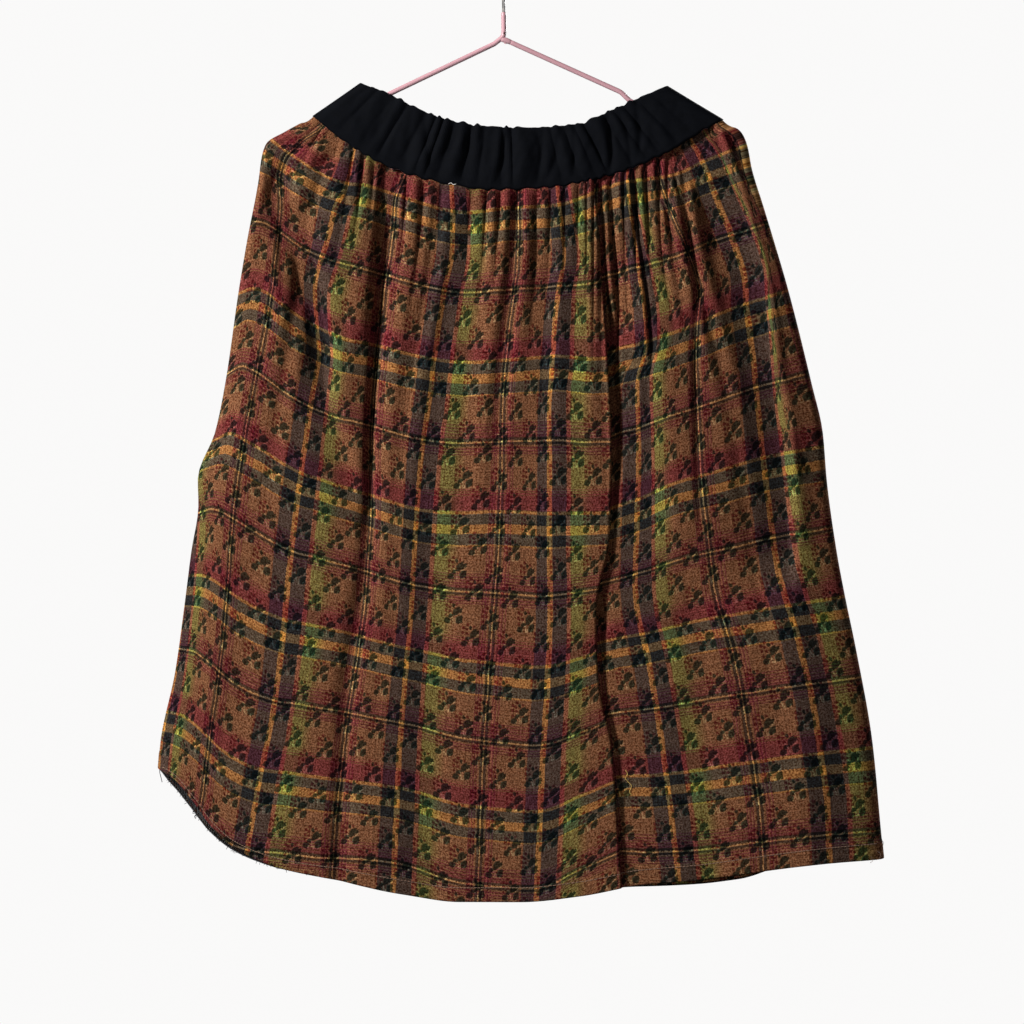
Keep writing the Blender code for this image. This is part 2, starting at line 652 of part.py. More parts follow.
def hook_path():
    """Centreline (x, z) of the bare hook, from the stem up over the crown."""
    centre = (0.0, -HOOK_INSIDE)
    reach = HOOK_INSIDE + HOOK_RADIUS
    ring = arc_points(centre, reach, *HOOK_SWEEP, 25)
    foot = np.array((0.0, STEM_PATH[0][1] * MM + JOINT_GAP))
    knee = np.array((0.0, HOOK_KNEE_Z))
    slant = math.radians(HOOK_HEADING)
    before = knee + (0.0, HOOK_BEND_PULL)
    after = ring[0] - np.array((math.cos(slant), math.sin(slant))) * HOOK_BEND_PULL
    span = np.linspace(0.0, 1.0, 7)[1:-1, None]
    rest = 1.0 - span
    bend = (knee * rest ** 3 + 3.0 * before * rest ** 2 * span + 3.0 * after * rest * span ** 2
            + ring[0] * span ** 3)
    return [tuple(foot), tuple(knee), *map(tuple, bend), *map(tuple, ring)]


def wire_object(name, path, radius, sides, material):
    """Build a round wire with flat ends along a path in the hanger's plane.

    The hanger hangs slightly askew, turned about the hook's crown.
    """
    line = bpy.data.curves.new(name, "CURVE")
    line.dimensions = "3D"
    line.bevel_depth = radius
    line.bevel_resolution = sides
    line.use_fill_caps = True
    spline = line.splines.new("POLY")
    spline.points.add(len(path) - 1)
    lean, upright = math.sin(HANG_TILT), math.cos(HANG_TILT)
    for point, (x, z) in zip(spline.points, path):
        point.co = (x * upright - z * lean, 0.0, x * lean + z * upright, 1.0)
    line.materials.append(make_material(material))
    piece = bpy.data.objects.new(name, line)
    bpy.context.collection.objects.link(piece)
    return piece


def main():
    """Build the skirt and its hanger."""
    clear_scene()
    for front in (True, False):
        make_panel(front)
        make_band(front)
    wire_object("hanger_frame", hanger_path(), WIRE_RADIUS, 2, "pink_coating")
    wire_object("hanger_hook", hook_path(), HOOK_RADIUS, 2, "bare_steel")


main()
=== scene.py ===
"""Looks of a gathered plaid midi skirt that hangs on a coated wire hanger.

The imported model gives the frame: metres, +Z up, the skirt's front facing -Y, and
the origin under the hook's crown.  Every cloth piece here is a surface of two
parameters.  c runs across the cloth from its left side seam (0) to its right one
(1), and v runs down it from its upper edge (0) to its lower one (1).
"""

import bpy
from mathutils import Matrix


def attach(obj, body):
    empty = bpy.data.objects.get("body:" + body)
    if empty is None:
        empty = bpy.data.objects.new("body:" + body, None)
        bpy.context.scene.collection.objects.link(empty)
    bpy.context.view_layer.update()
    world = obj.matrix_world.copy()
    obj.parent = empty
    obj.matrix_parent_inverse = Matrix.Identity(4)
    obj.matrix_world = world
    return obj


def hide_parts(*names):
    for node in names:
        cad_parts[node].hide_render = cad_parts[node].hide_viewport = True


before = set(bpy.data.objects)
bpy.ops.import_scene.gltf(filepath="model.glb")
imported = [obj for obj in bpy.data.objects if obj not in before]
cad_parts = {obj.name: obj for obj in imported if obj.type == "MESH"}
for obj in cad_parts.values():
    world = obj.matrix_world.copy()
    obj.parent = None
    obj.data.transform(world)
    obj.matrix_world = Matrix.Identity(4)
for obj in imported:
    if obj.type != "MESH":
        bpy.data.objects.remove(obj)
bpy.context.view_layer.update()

import logging
import math
from dataclasses import dataclass, field
from enum import Enum
from functools import partialmethod
from typing import Any

import bpy
import numpy as np
from mathutils import Vector

log = logging.getLogger("skirt")

MM = 0.001
TURN = 2.0 * math.pi
BODY = "root"

Array = np.ndarray
Table = tuple[tuple[Any, ...], ...]
Colour = tuple[float, float, float]

# Walls, seams and the cut of a panel, as in the model.
CLOTH_WALL = 1.2 * MM
HEM_WALL = 2.2 * MM
HEM_DEPTH = 15.0 * MM
BAND_WALL = 2.6 * MM
SEAM_GAP = 0.36 * MM
SIDE_GAP = 0.3 * MM
PANEL_WIDTH = 740.0 * MM
PANEL_LENGTH = 665.0 * MM

# Outline in millimetres: x to the right, z up from the hanging point.
LEFT_SIDE = (
    # x, z
    (-174.8, -159.8), (-201.5, -174.2), (-217.8, -184.4), (-222.0, -196.6), (-225.0, -218.7),
    (-235.5, -273.9), (-242.9, -318.0), (-255.8, -406.4), (-265.0, -450.5), (-281.0, -494.7),
    (-280.4, -516.8), (-287.0, -560.9), (-292.6, -605.1), (-301.8, -671.3), (-315.6, -737.6),
    (-317.4, -759.6),
)
RIGHT_SIDE = (
    # x, z
    (202.4, -163.0), (219.2, -174.0), (224.6, -185.4), (229.0, -207.6), (239.2, -240.8),
    (249.3, -273.9), (262.2, -318.0), (284.3, -406.4), (294.4, -450.5), (298.1, -494.7),
    (307.3, -560.9), (315.6, -605.1), (324.8, -649.2), (340.4, -737.6), (347.8, -814.8),
    (350.5, -842.4),
)
WAIST_SEAM = (
    # x, z
    (-174.8, -159.8), (-146.3, -182.8), (-114.1, -202.4), (-68.1, -218.7), (-8.3, -227.6),
    (42.3, -225.6), (96.6, -214.8), (150.9, -193.2), (180.0, -175.4), (202.4, -163.0),
)
FRONT_HEM = (
    # x, z
    (-317.4, -759.6), (-302.8, -768.0), (-284.0, -789.0), (-267.0, -812.0), (-250.0, -828.0),
    (-228.0, -840.5), (-205.2, -849.0), (-150.0, -860.8), (-94.8, -872.8), (-39.6, -880.1),
    (15.6, -880.1), (70.8, -874.6), (126.0, -864.5), (181.2, -860.0), (236.4, -852.5),
    (291.6, -846.0), (350.5, -842.4),
)
BACK_HEM = (
    # x, z
    (-317.4, -759.6), (-308.5, -771.5), (-300.0, -781.0), (-287.5, -797.0), (-271.5, -817.5),
    (-251.0, -834.5), (-228.0, -845.5), (-205.2, -852.5), (-150.0, -861.5), (-94.8, -868.0),
    (-39.6, -872.0), (15.6, -872.0), (70.8, -872.0), (126.0, -870.0), (181.2, -867.3),
    (218.0, -862.5), (291.6, -842.0), (350.5, -842.4),
)
BAND_TOP = (
    # x, z
    (-131.6, -130.0), (-105.8, -139.6), (-82.8, -151.6), (-55.0, -162.5), (-20.0, -169.3),
    (21.2, -171.2), (72.7, -167.0), (96.6, -156.5), (117.8, -147.2), (134.3, -139.6),
    (151.8, -132.7),
)

# Where marked warp threads of each panel lie at five heights.
STATION_HEIGHTS = (0.0, 0.10, 0.35, 0.65, 1.0)
FRONT_STATIONS = (
    # name, c, then x in mm at each station height
    ("near left", 0.063, -166.0, -194.0, -221.0, -250.0, -279.0),
    ("first stripe", 0.159, -139.0, -149.0, -178.5, -198.0, -233.0),
    ("second stripe", 0.350, -44.0, -49.0, -71.0, -84.5, -99.5),
    ("third stripe", 0.541, 50.0, 49.0, 42.5, 38.5, 33.0),
    ("fourth stripe", 0.732, 113.0, 114.0, 124.0, 137.0, 154.5),
    ("fifth stripe", 0.923, 178.5, 184.0, 226.5, 264.0, 300.0),
)
BACK_STATIONS = (
    # name, c, then x in mm at each station height
    ("near left", 0.080, -160.0, -187.0, -212.0, -236.0, -266.0),
    ("left half", 0.290, -92.0, -96.0, -106.0, -118.0, -131.0),
    ("middle", 0.500, 6.0, 4.0, 9.0, 13.0, 17.0),
    ("right half", 0.710, 98.0, 103.0, 121.0, 143.0, 163.0),
    ("near right", 0.920, 176.0, 189.0, 230.0, 261.0, 294.0),
)

# The deep fold of the front panel, where the cloth doubles back under itself.
FOLD_FROM = 0.541
FOLD_TO = 0.732
FOLD_TURN = 6.8 * MM
FOLD_RISE_FROM = 0.44
FOLD_RISE_TO = 0.85
DEEP_FOLD = (
    # v, c of the front edge, overlap in c
    (0.00, 0.627, 0.014), (0.10, 0.627, 0.026), (0.35, 0.624, 0.036), (0.50, 0.625, 0.030),
    (0.60, 0.609, 0.026), (0.70, 0.613, 0.022), (0.80, 0.631, 0.019), (0.90, 0.639, 0.015),
    (1.00, 0.645, 0.012),
)
HOME_FOLD = DEEP_FOLD[2][1:]
FOLD_HOLLOW = (
    # v, then depth, distance from the fold's edge and width in mm of the dark hollow
    (0.00, 4.5, 2.2, 2.4), (0.05, 9.5, 2.2, 2.4), (0.15, 15.0, 2.8, 3.0), (0.25, 18.0, 4.4, 4.4),
    (0.36, 17.0, 4.4, 4.4), (0.45, 11.0, 3.4, 3.6), (0.52, 5.0, 2.4, 2.6), (0.58, 6.0, 2.4, 2.6),
    (0.62, 12.0, 4.0, 3.8), (0.68, 6.0, 3.0, 3.2), (0.80, 3.0, 2.2, 2.4), (1.00, 2.0, 2.2, 2.2),
)

# How far the middle of each panel stands off the hanger's plane, in mm down the cloth.
FRONT_DEPTH = ((0.0, 9.0), (0.10, 14.0), (0.35, 24.0), (0.65, 30.0), (1.0, 34.0))
BACK_DEPTH = ((0.0, 8.0), (0.10, 9.5), (0.35, 12.0), (0.65, 13.0), (1.0, 14.0))

# Folds as soft ridges (+) and troughs (-) along paths on the front view.
FRONT_FOLDS = (
    # name, height at top and bottom, width on the left and right, path of (x, z), all mm
    ("shoulder trough", -13.0, -6.0, 24, 7,
     ((-202, -232), (-177, -294), (-168, -345), (-162, -400), (-148, -470), (-130, -522))),
    ("shoulder depth", -12.0, -10.0, 17, 6, ((-183, -272), (-175, -300), (-168, -345), (-164, -382))),
    ("left crease", -9.5, -5.0, 9, 10,
     ((-102, -211), (-108, -260), (-113, -347), (-119, -449), (-121, -513), (-125, -568), (-144, -697),
      (-150, -881))),
    ("narrow pleat", 4.0, 3.0, 9, 5, ((109, -211), (115, -252), (122, -311), (127, -370), (126, -421))),
    ("lit swell", 5.0, 3.5, 16, 24, ((148, -255), (152, -329), (155, -403), (159, -541))),
    ("facet trough", -14.0, -15.0, 40, 3.5,
     ((198, -196), (224, -252), (241, -316), (246, -375), (259, -449), (264, -560))),
    ("right ridge", 6.0, 5.0, 5, 16,
     ((198, -173), (221, -228), (233, -272), (246, -325), (250, -375), (259, -432), (273, -531))),
    ("left swell", 4.0, 3.0, 18, 18, ((-240, -420), (-262, -560), (-270, -700))),
    ("middle dip", -3.0, -3.5, 20, 20, ((-60, -560), (-68, -680), (-72, -900))),
    ("low right dip", -3.0, -3.0, 20, 18, ((178, -620), (184, -740), (190, -900))),
    ("far right swell", 3.0, 4.0, 20, 20, ((262, -600), (276, -740), (284, -900))),
)
BACK_FOLDS = (
    # name, height at top and bottom, width on the left and right, path of (x, z), all mm
    ("left trough", -3.5, -4.0, 14, 18, ((-150, -215), (-168, -360), (-186, -560), (-205, -900))),
    ("left swell", 3.5, 4.0, 16, 14, ((-84, -235), (-98, -420), (-110, -640), (-122, -900))),
    ("middle trough", -3.5, -4.5, 16, 12, ((-10, -240), (-4, -430), (6, -660), (12, -900))),
    ("right swell", 4.0, 4.0, 14, 18, ((72, -235), (88, -420), (104, -640), (118, -900))),
    ("right trough", -3.0, -4.0, 14, 16, ((140, -215), (172, -380), (202, -600), (226, -900))),
)
FOLD_FADE = 45.0 * MM

# Creases too small for the model, in the same terms.
FRONT_CREASES = (
    ("shoulder line", -3.0, -2.0, 3, 7, ((-207, -221), (-206, -269), (-203, -320))),
    ("shoulder wall", -4.5, -2.6, 10, 3,
     ((-186, -257), (-176, -294), (-168, -346), (-164, -384), (-160, -423))),
    ("upper shoulder fold", -1.8, -1.4, 7, 10, ((-152, -167), (-168, -180), (-190, -193))),
    ("lower shoulder fold", -1.8, -1.4, 9, 9, ((-137, -184), (-157, -198), (-185, -211))),
    ("left crease line", -11.0, -5.5, 6, 1.6,
     ((-105, -211), (-108, -231), (-110, -277), (-112, -337), (-116, -393), (-120, -458), (-122, -540))),
    ("beside left crease", -1.8, -1.2, 2, 3, ((-98, -211), (-101, -251), (-106, -307), (-108, -357))),
    ("dark gap one", -6.0, -9.0, 2.6, 2.0,
     ((98, -215), (99, -237), (100, -255), (104, -301), (106, -344), (105, -377))),
    ("pleat crest", 2.6, 3.0, 8, 1.6, ((115, -209), (120, -252), (124, -290), (129, -329), (132, -368))),
    ("dark gap two", -5.0, -7.0, 1.8, 3.0,
     ((119, -209), (123, -252), (128, -294), (133, -338), (136, -377))),
    ("short gather one", -4.0, -2.4, 2.0, 2.6, ((130, -209), (132, -237), (135, -272))),
    ("short gather two", -4.0, -2.6, 2.0, 2.6, ((142, -206), (147, -237), (153, -263), (160, -290))),
    ("short gather three", -2.6, -1.8, 2.0, 2.6, ((154, -200), (163, -237), (169, -269), (174, -294))),
    ("facet edge", -4.4, -3.0, 4, 2.6, ((172, -270), (178, -320), (177, -393), (178, -458), (181, -531))),
    ("upper right hollow", -3.5, -3.0, 9, 6, ((170, -191), (181, -219), (192, -248), (201, -279))),
    ("right crest", 4.0, 3.0, 2.5, 3.0,
     ((200, -173), (222, -228), (233, -270), (246, -325), (250, -375), (259, -430), (269, -485))),
    ("beyond right crest", -2.6, -2.0, 3, 6,
     ((209, -182), (229, -233), (241, -283), (255, -338), (262, -393))),
    ("low left nick", -1.4, -1.0, 5, 7, ((-102, -598), (-97, -642))),
    ("low left nick two", -1.2, -1.0, 5, 6, ((-121, -653), (-115, -697))),
    ("middle soft line", -1.2, -0.8, 6, 9, ((-35, -265), (-36, -357), (-38, -485), (-44, -568))),
    ("middle soft lip", 1.0, 0.6, 8, 7, ((-12, -246), (-14, -357), (-16, -458))),
    ("bright front hollow", -1.6, -1.0, 7, 9, ((34, -274), (36, -357), (39, -439))),
    ("left soft line", -0.9, -0.9, 7, 8, ((-249, -485), (-268, -605), (-288, -752))),
    ("right soft line", -1.2, -0.9, 8, 7, ((213, -467), (232, -587), (264, -752))),
    ("low dimple", -1.6, -1.0, 8, 5, ((168, -712), (176, -745))),
)
BACK_CREASES = (
    ("left crease line", -4.0, -2.0, 3, 5, ((-118, -215), (-126, -330), (-135, -450))),
    ("left crease lip", 1.6, 1.2, 5, 5, ((-104, -215), (-110, -330), (-117, -440))),
    ("middle crease", -4.5, -2.0, 3, 5, ((-12, -232), (-12, -330), (-14, -430))),
    ("middle lip", 1.8, 1.2, 5, 4, ((4, -232), (4, -340), (2, -440))),
    ("right crease line", -4.5, -2.5, 5, 2.5, ((112, -215), (124, -330), (142, -480))),
    ("right lip", 1.8, 1.4, 4, 6, ((126, -212), (139, -330), (158, -460))),
    ("shoulder crease", -3.5, -2.2, 9, 5, ((196, -225), (178, -290), (160, -370))),
    ("left shoulder crease", -3.0, -2.0, 6, 9, ((-196, -235), (-180, -300), (-166, -390))),
    ("low nick", -1.4, -1.0, 5, 7, ((-64, -590), (-62, -650))),
    ("low nick two", -1.2, -1.0, 6, 5, ((62, -630), (60, -690))),
    ("soft line", -1.1, -0.9, 8, 7, ((36, -490), (42, -610), (48, -780))),
)
CREASE_FADE = 12.0 * MM

# Gather heights in mm down the cloth: the fine ones, the narrow valleys between
# them, the broader ones that they merge into, and how far the heads stand up.
FINE_GATHERS = (
    # v, mm
    (0.0, 1.0), (0.010, 2.2), (0.035, 2.4), (0.08, 1.9), (0.14, 1.0), (0.21, 0.3), (0.28, 0.0),
    (1.0, 0.0),
)
GATHER_VALLEYS = (
    # v, mm
    (0.0, 0.3), (0.008, 2.4), (0.03, 3.4), (0.07, 2.8), (0.12, 1.6), (0.20, 0.4), (0.28, 0.0),
    (1.0, 0.0),
)
BROAD_GATHERS = (
    # v, mm
    (0.0, 0.4), (0.022, 1.2), (0.07, 2.2), (0.125, 2.6), (0.25, 1.9), (0.42, 0.8), (0.6, 0.2),
    (1.0, 0.0),
)
BROAD_SHARE = 0.36
BROAD_START = 1.3
VALLEY_WIDTH = 0.75
GATHER_REACH = 0.45
GATHER_UNEVENNESS = 0.20
HEAD_RISE = 1.5 * MM
HEAD_FADE = 0.03
SEAM_BACK_DROP = 1.8 * MM

# Where across the cloth the gathers grow calm: under the deep fold, and to either side.
CALM_AT = 0.668
CALM_WIDTH = 0.03
CALM_SHARE = 0.75
LEFT_CALM_FROM = 0.07
LEFT_CALM_SPAN = 0.13
LEFT_CALM_LEAST = 0.15
LEFT_HEAD_LEAST = 0.3
RIGHT_CALM_FROM = 0.86
RIGHT_CALM_SPAN = 0.1
RIGHT_CALM_SHARE = 0.6

# Slight unevenness of worn cloth, as noise on a square lattice of LATTICE cells.
PANEL_RIPPLES = (
    # height in mm, slant, squeeze upright, cell in mm, seed
    (1.3, 0.0, 0.6, 62.0, 3), (0.50, 0.0, 0.7, 24.0, 13), (0.16, 0.0, 1.0, 9.0, 23),
)
RIPPLE_EASE = 0.06
LATTICE = 64

# How the waves of gathers and puckers crowd and spread along a seam.
WAVE_DRIFT = ((2, 0.30), (5, 0.22), (9, 0.16))
SEED_STEP = 0.37

# Closed side edges: their depth and the share of c that they take.
EDGE_DEPTH = 5.6 * MM
EDGE_SPAN = 0.011
EDGE_SPAN_WAIST = 0.024
EDGE_SPAN_BAND = 0.017
EDGE_EASE = 0.07
EDGE_STEPS = 6

# How folds fade and rows bend towards the sides, in c, and towards the seam, in v.
SIDE_FADE = 0.045
SIDE_PULL = 0.2
SEAM_EASE = 0.02

# Rows of the panels, in v, and the steps in which the deep fold and the seam are read.
WAIST_ROWS_END = 0.26
HEM_MARGIN = 0.004
HEM_STEP = 0.003
FOLD_STEPS = 1201
SEAM_STEPS = 1501

# Least distance from the hanger's plane, over its bar and arms down to BAR_REACH and
# below them.  It holds where the folds' fade at the sides is past the INSIDE share.
BAR_CLEARANCE = 4.0 * MM
BAR_REACH = 0.08
LEAST_HOLLOW = 2.2 * MM
PANEL_INSIDE = 0.3
BAND_INSIDE = 0.5

# Waistband: its depth and swell, its puckers, and how calm its ends are.
BAND_DEPTH_TOP = 8.4 * MM
BAND_PUCKERS = 22
BAND_PUCKER = 1.1 * MM
BAND_BULGE = 1.2 * MM
BAND_BACK_DROP = 2.5 * MM
BAND_BACK_INSET = 1.0 * MM
BAND_SMOOTH_ENDS = 0.2
BAND_SMOOTH_SHARE = 0.75
BAND_RELAXED = 1.25
BAND_HEIGHT = 57.0 * MM
BAND_BROAD = 1.1 * MM
BAND_BROAD_WAVES = 9.0
PUCKER_WIDTH = 0.8
BAND_RIPPLES = (
    # height in mm, slant, squeeze upright, cell in mm, seed
    (1.4, 0.35, 0.22, 11.0, 60), (0.5, -0.4, 0.3, 5.0, 65),
)
BAND_CREASES = (
    # height in mm, width in mm on the left and right, path of (c, v)
    (-2.4, 3, 5, ((.724, .0), (.728, .5), (.720, 1.0))), (-3.0, 4, 4, ((.805, .0), (.765, .5), (.726, 1.0))),
    (2.2, 5, 4, ((.772, .0), (.750, .5), (.722, .9))), (-2.2, 3, 5, ((.838, .0), (.812, .5), (.778, 1.0))),
    (-1.9, 4, 4, ((.893, .0), (.845, .5), (.792, 1.0))), (-1.8, 4, 6, ((.213, .0), (.255, .5), (.300, 1.0))),
    (-1.5, 5, 5, ((.170, .0), (.205, .6), (.225, 1.0))), (-1.9, 4, 5, ((.480, .0), (.462, .5), (.444, 1.0))),
    (-1.8, 4, 4, ((.594, .0), (.572, .5), (.544, 1.0))), (-1.6, 4, 5, ((.652, .0), (.600, .6), (.560, 1.0))),
    (-1.5, 3, 4, ((.692, .0), (.665, .5), (.629, 1.0))), (-1.4, 5, 7, ((.345, .0), (.372, .5), (.390, 1.0))),
    (-1.2, 6, 8, ((.095, .1), (.120, .5), (.150, 1.0))), (1.3, 7, 7, ((.520, .0), (.515, .5), (.505, 1.0))),
)
SEAM_STRIP = 0.16

# How the woven pattern lies on the front panel, in repeats: q down and p across.
WEFT_BANDS = (
    # c, then v of the bands 0 to 4
    (0.00, .095, .327, .543, .740, .940), (0.03, .093, .300, .513, .724, .930),
    (0.06, .091, .288, .500, .712, .922), (0.10, .087, .284, .488, .702, .914),
    (0.16, .076, .281, .485, .693, .904), (0.20, .064, .280, .480, .684, .893),
    (0.26, .058, .272, .479, .679, .886), (0.35, .060, .271, .484, .679, .876),
    (0.45, .050, .266, .478, .689, .891), (0.54, .050, .263, .484, .698, .898),
    (0.60, .047, .275, .490, .688, .880), (0.66, .042, .281, .498, .675, .868),
    (0.72, .042, .274, .488, .672, .873), (0.80, .051, .272, .472, .667, .873),
    (0.90, .067, .271, .472, .672, .876), (1.00, .070, .268, .479, .676, .878),
)
WARP_HEIGHTS = (0.0, .05, .10, .15, .20, .25, .30, .40, .50, .60, .70, .80, .90, 1.0)
WARP_MARKS = (
    # p, then c at each warp height
    (-1.0, -.080, -.080, -.080, -.080, -.077, -.070, -.066, -.060, -.045, -.020, -.004, .000, .002, .002),
    (-.42, .066, .042, .038, .053, .059, .063, .062, .057, .055, .058, .065, .068, .066, .066),
    (0.0, .165, .161, .146, .143, .136, .150, .166, .164, .159, .156, .159, .161, .157, .156),
    (.58, .264, .250, .251, .250, .254, .258, .262, .270, .278, .278, .273, .268, .268, .272),
    (1.0, .343, .350, .353, .347, .347, .348, .350, .346, .346, .347, .345, .344, .346, .348),
    (1.58, .464, .466, .467, .464, .461, .461, .462, .467, .467, .463, .460, .458, .458, .459),
    (2.0, .541, .550, .556, .546, .542, .541, .539, .542, .544, .547, .545, .541, .539, .537),
    (3.0, .736, .740, .752, .760, .765, .761, .736, .730, .721, .713, .725, .733, .738, .741),
    (3.58, .815, .836, .860, .880, .889, .868, .850, .835, .827, .826, .840, .846, .848, .842),
    (4.0, .905, .931, .945, .953, .956, .947, .939, .926, .918, .914, .925, .931, .931, .922),
    (4.165, .941, .961, .974, .981, .983, .975, .967, .954, .950, .948, .958, .963, .965, .958),
    (4.34, .944, .964, .977, .984, .986, .978, .970, .965, .975, .982, .991, .997, 1.00, .997),
    (4.58, .985, .988, .990, .995, 1.00, 1.005, 1.01, 1.02, 1.03, 1.035, 1.04, 1.045, 1.05, 1.05),
)
REPEAT = 139.0 * MM
BACK_PATTERN = (0.4, -0.35)
RUN_ON = 9.0

# Sewing along the hems, and loose ends of thread as (x, z) paths in mm.
STITCH_PITCH = 3.4 * MM
STITCH_LENGTH = 2.5 * MM
STITCH_HEIGHT = (
    # c, distance of the stitches above the hem's edge in mm
    (0.0, 3.6), (0.10, 4.0), (0.22, 8.0), (0.36, 12.0), (1.0, 13.0),
)
OVERLOCK_PITCH = 0.95 * MM
OVERLOCK_DEPTH = 7.0 * MM
OVERLOCK_END = 0.27
HAIRS = 90
DARK_ENDS = (
    ((-317.0, -760.5), (-317.3, -764.2), (-316.4, -768.8), (-315.2, -773.8)),
    ((-291.5, -786.5), (-289.8, -791.0), (-286.2, -795.2)),
    ((-288.0, -787.5), (-285.4, -791.6), (-287.0, -795.6)),
    ((-293.4, -784.6), (-290.8, -789.0), (-291.8, -792.8)),
    ((-295.4, -777.4), (-299.0, -779.6)),
    ((-280.6, -800.2), (-283.4, -803.0), (-285.2, -805.8), (-284.2, -807.6)),
    ((-274.4, -809.4), (-276.2, -813.0)),
    ((-262.0, -818.5), (-263.4, -821.0), (-262.6, -823.4)),
)
YELLOW_END = (
    (112.2, -760.6), (114.1, -764.2), (112.2, -767.9), (115.0, -771.6), (117.8, -775.3),
    (116.0, -779.9), (117.8, -783.5),
)
WHITE_END = ((-50.0, -222.2), (-47.8, -221.2), (-45.8, -222.8), (-43.4, -222.4))
BROWN_ENDS = (
    ((344.0, -836.0), (347.2, -838.2), (346.0, -842.6), (343.4, -843.8)),
    ((348.0, -826.0), (350.4, -828.6), (349.2, -832.4)),
    ((338.0, -840.4), (339.8, -844.2), (337.2, -846.4)),
)
FRONT_ENDS = (
    # name, paths, thickness in plain threads, colour
    ("yellow_end", (YELLOW_END,), 1.5, "yellow"), ("white_end", (WHITE_END,), 1.5, "white"),
    ("corner_ends", BROWN_ENDS, 1.0, "tan"),
)
BACK_ENDS = (("dark_ends", DARK_ENDS, 1.9, "black"),)
THREAD_RADIUS = 0.19 * MM
THREADS = (
    # name, colour
    ("tan", (0.17, 0.095, 0.06)), ("black", (0.012, 0.012, 0.015)), ("yellow", (0.52, 0.34, 0.08)),
    ("white", (0.70, 0.66, 0.62)),
)

# Hanger, as in the model.
WIRE_RADIUS = 2.3 * MM
HOOK_RADIUS = 1.5 * MM
HOOK_INSIDE = 20.5 * MM
HOOK_SWEEP = (-52.0, 205.0)
HOOK_KNEE_Z = -50.0 * MM
HOOK_HEADING = 38.0
HOOK_BEND_PULL = 11.0 * MM
HANGER_HALF = 223.15 * MM
NECK_Z = -88.0 * MM
STEM_PATH = ((0.0, -64.0), (0.0, -72.0), (0.0, -80.0), (-0.5, -84.5), (-3.0, -87.6))
ARM_MARKS = ((9.0, 30.0, 50.0, 80.0), (160.0, 190.0))
ARM_SLOPE = 0.465
HANG_TILT = 0.0105
END_RADIUS = 10.0 * MM
NOTCH_AT = 117.5 * MM
NOTCH_SPAN = 24.0 * MM
NOTCH_DROP = 4.5 * MM
NECK_GAP = 1.1 * MM
NECK_WELD = (
    # x, z, radius in mm
    (-2.6, -88.2, 2.2), (-0.4, -88.4, 2.55), (2.0, -89.1, 2.65), (4.2, -90.0, 2.5), (6.4, -91.0, 2.3),
)
WELD_DROP = (
    # x, z, radius in mm
    (1.0, -89.6, 2.1), (1.3, -90.8, 1.8), (1.5, -91.7, 1.2),
)
JOINT_GAP = 0.3 * MM

# Rounded ends: of walls, and of tubes as shares of their radius.
RIM_ANGLES = tuple(math.radians(angle) for angle in (60.0, 30.0, 0.0))
CAP_STEP = 0.5
CAP_SHRINK = 0.62
CAP_POLE = 0.35


class Side(Enum):
    """The half of the skirt that a piece belongs to; its value is the sign of y."""

    FRONT = -1.0
    BACK = 1.0


def smooth(value: Array | float) -> Array | float:
    """Ease a value from 0 to 1, flat outside that range: t t (3 - 2 t)."""
    value = np.clip(value, 0.0, 1.0)
    return value * value * (3.0 - 2.0 * value)


def bell(value: Array | float) -> Array | float:
    """Bell curve of height 1: e to the minus value squared."""
    return np.exp(-value ** 2)


def fold_profile(aside: Array, left: float, right: float) -> Array:
    """Bell across a fold, with one width in mm on its left and one on its right."""
    return bell(aside / (np.where(aside < 0.0, left, right) * MM))


def curve(at: Array | float, knots: Any, values: Any) -> Array:
    """Cubic through the knots that never overshoots them.

    Its slope at a knot is the weighted harmonic mean of the rises on both sides, and
    level where they differ in sign.

    Args:
        at: where the curve is read; it is held at the first and last knot.
        knots: rising places of the known values.
        values: the known values.

    Returns:
        The curve's values at those places.
    """
    knots = np.asarray(knots, float)
    values = np.asarray(values, float)
    step = np.diff(knots)
    rise = np.diff(values) / step
    slope = np.zeros_like(values)
    same_way = rise[:-1] * rise[1:] > 0.0
    before = 2.0 * step[1:] + step[:-1]
    after = step[1:] + 2.0 * step[:-1]
    safe_low = np.where(same_way, rise[:-1], 1.0)
    safe_high = np.where(same_way, rise[1:], 1.0)
    mean = (before + after) / (before / safe_low + after / safe_high)
    slope[1:-1] = np.where(same_way, mean, 0.0)
    slope[0] = rise[0]
    slope[-1] = rise[-1]
    at = np.clip(at, knots[0], knots[-1])
    cell = np.clip(np.searchsorted(knots, at, side="right") - 1, 0, len(step) - 1)
    width = step[cell]
    local = (at - knots[cell]) / width
    start, end = values[cell], values[cell + 1]
    return (start * (1.0 + 2.0 * local) * (1.0 - local) ** 2
            + end * local ** 2 * (3.0 - 2.0 * local)
            + slope[cell] * width * local * (1.0 - local) ** 2
            - slope[cell + 1] * width * local ** 2 * (1.0 - local))


def table_curve(at: Array | float, table: Table, scale: float = MM, column: int = 1) -> Array:
    """Read one column of a table as a curve over its first column.

    Args:
        at: where the curve is read.
        table: rows of a place and the values there.
        scale: unit of the values.
        column: which column is read.

    Returns:
        The values at those places.
    """
    columns = np.array(table, float)
    return curve(at, columns[:, 0], columns[:, column] * scale)


def line_curve(at_x: Array, table: Table) -> Array:
    """Height z of a table of (x, z) points in mm at the given x, in metres."""
    points = np.array(table, float) * MM
    return curve(at_x, points[:, 0], points[:, 1])


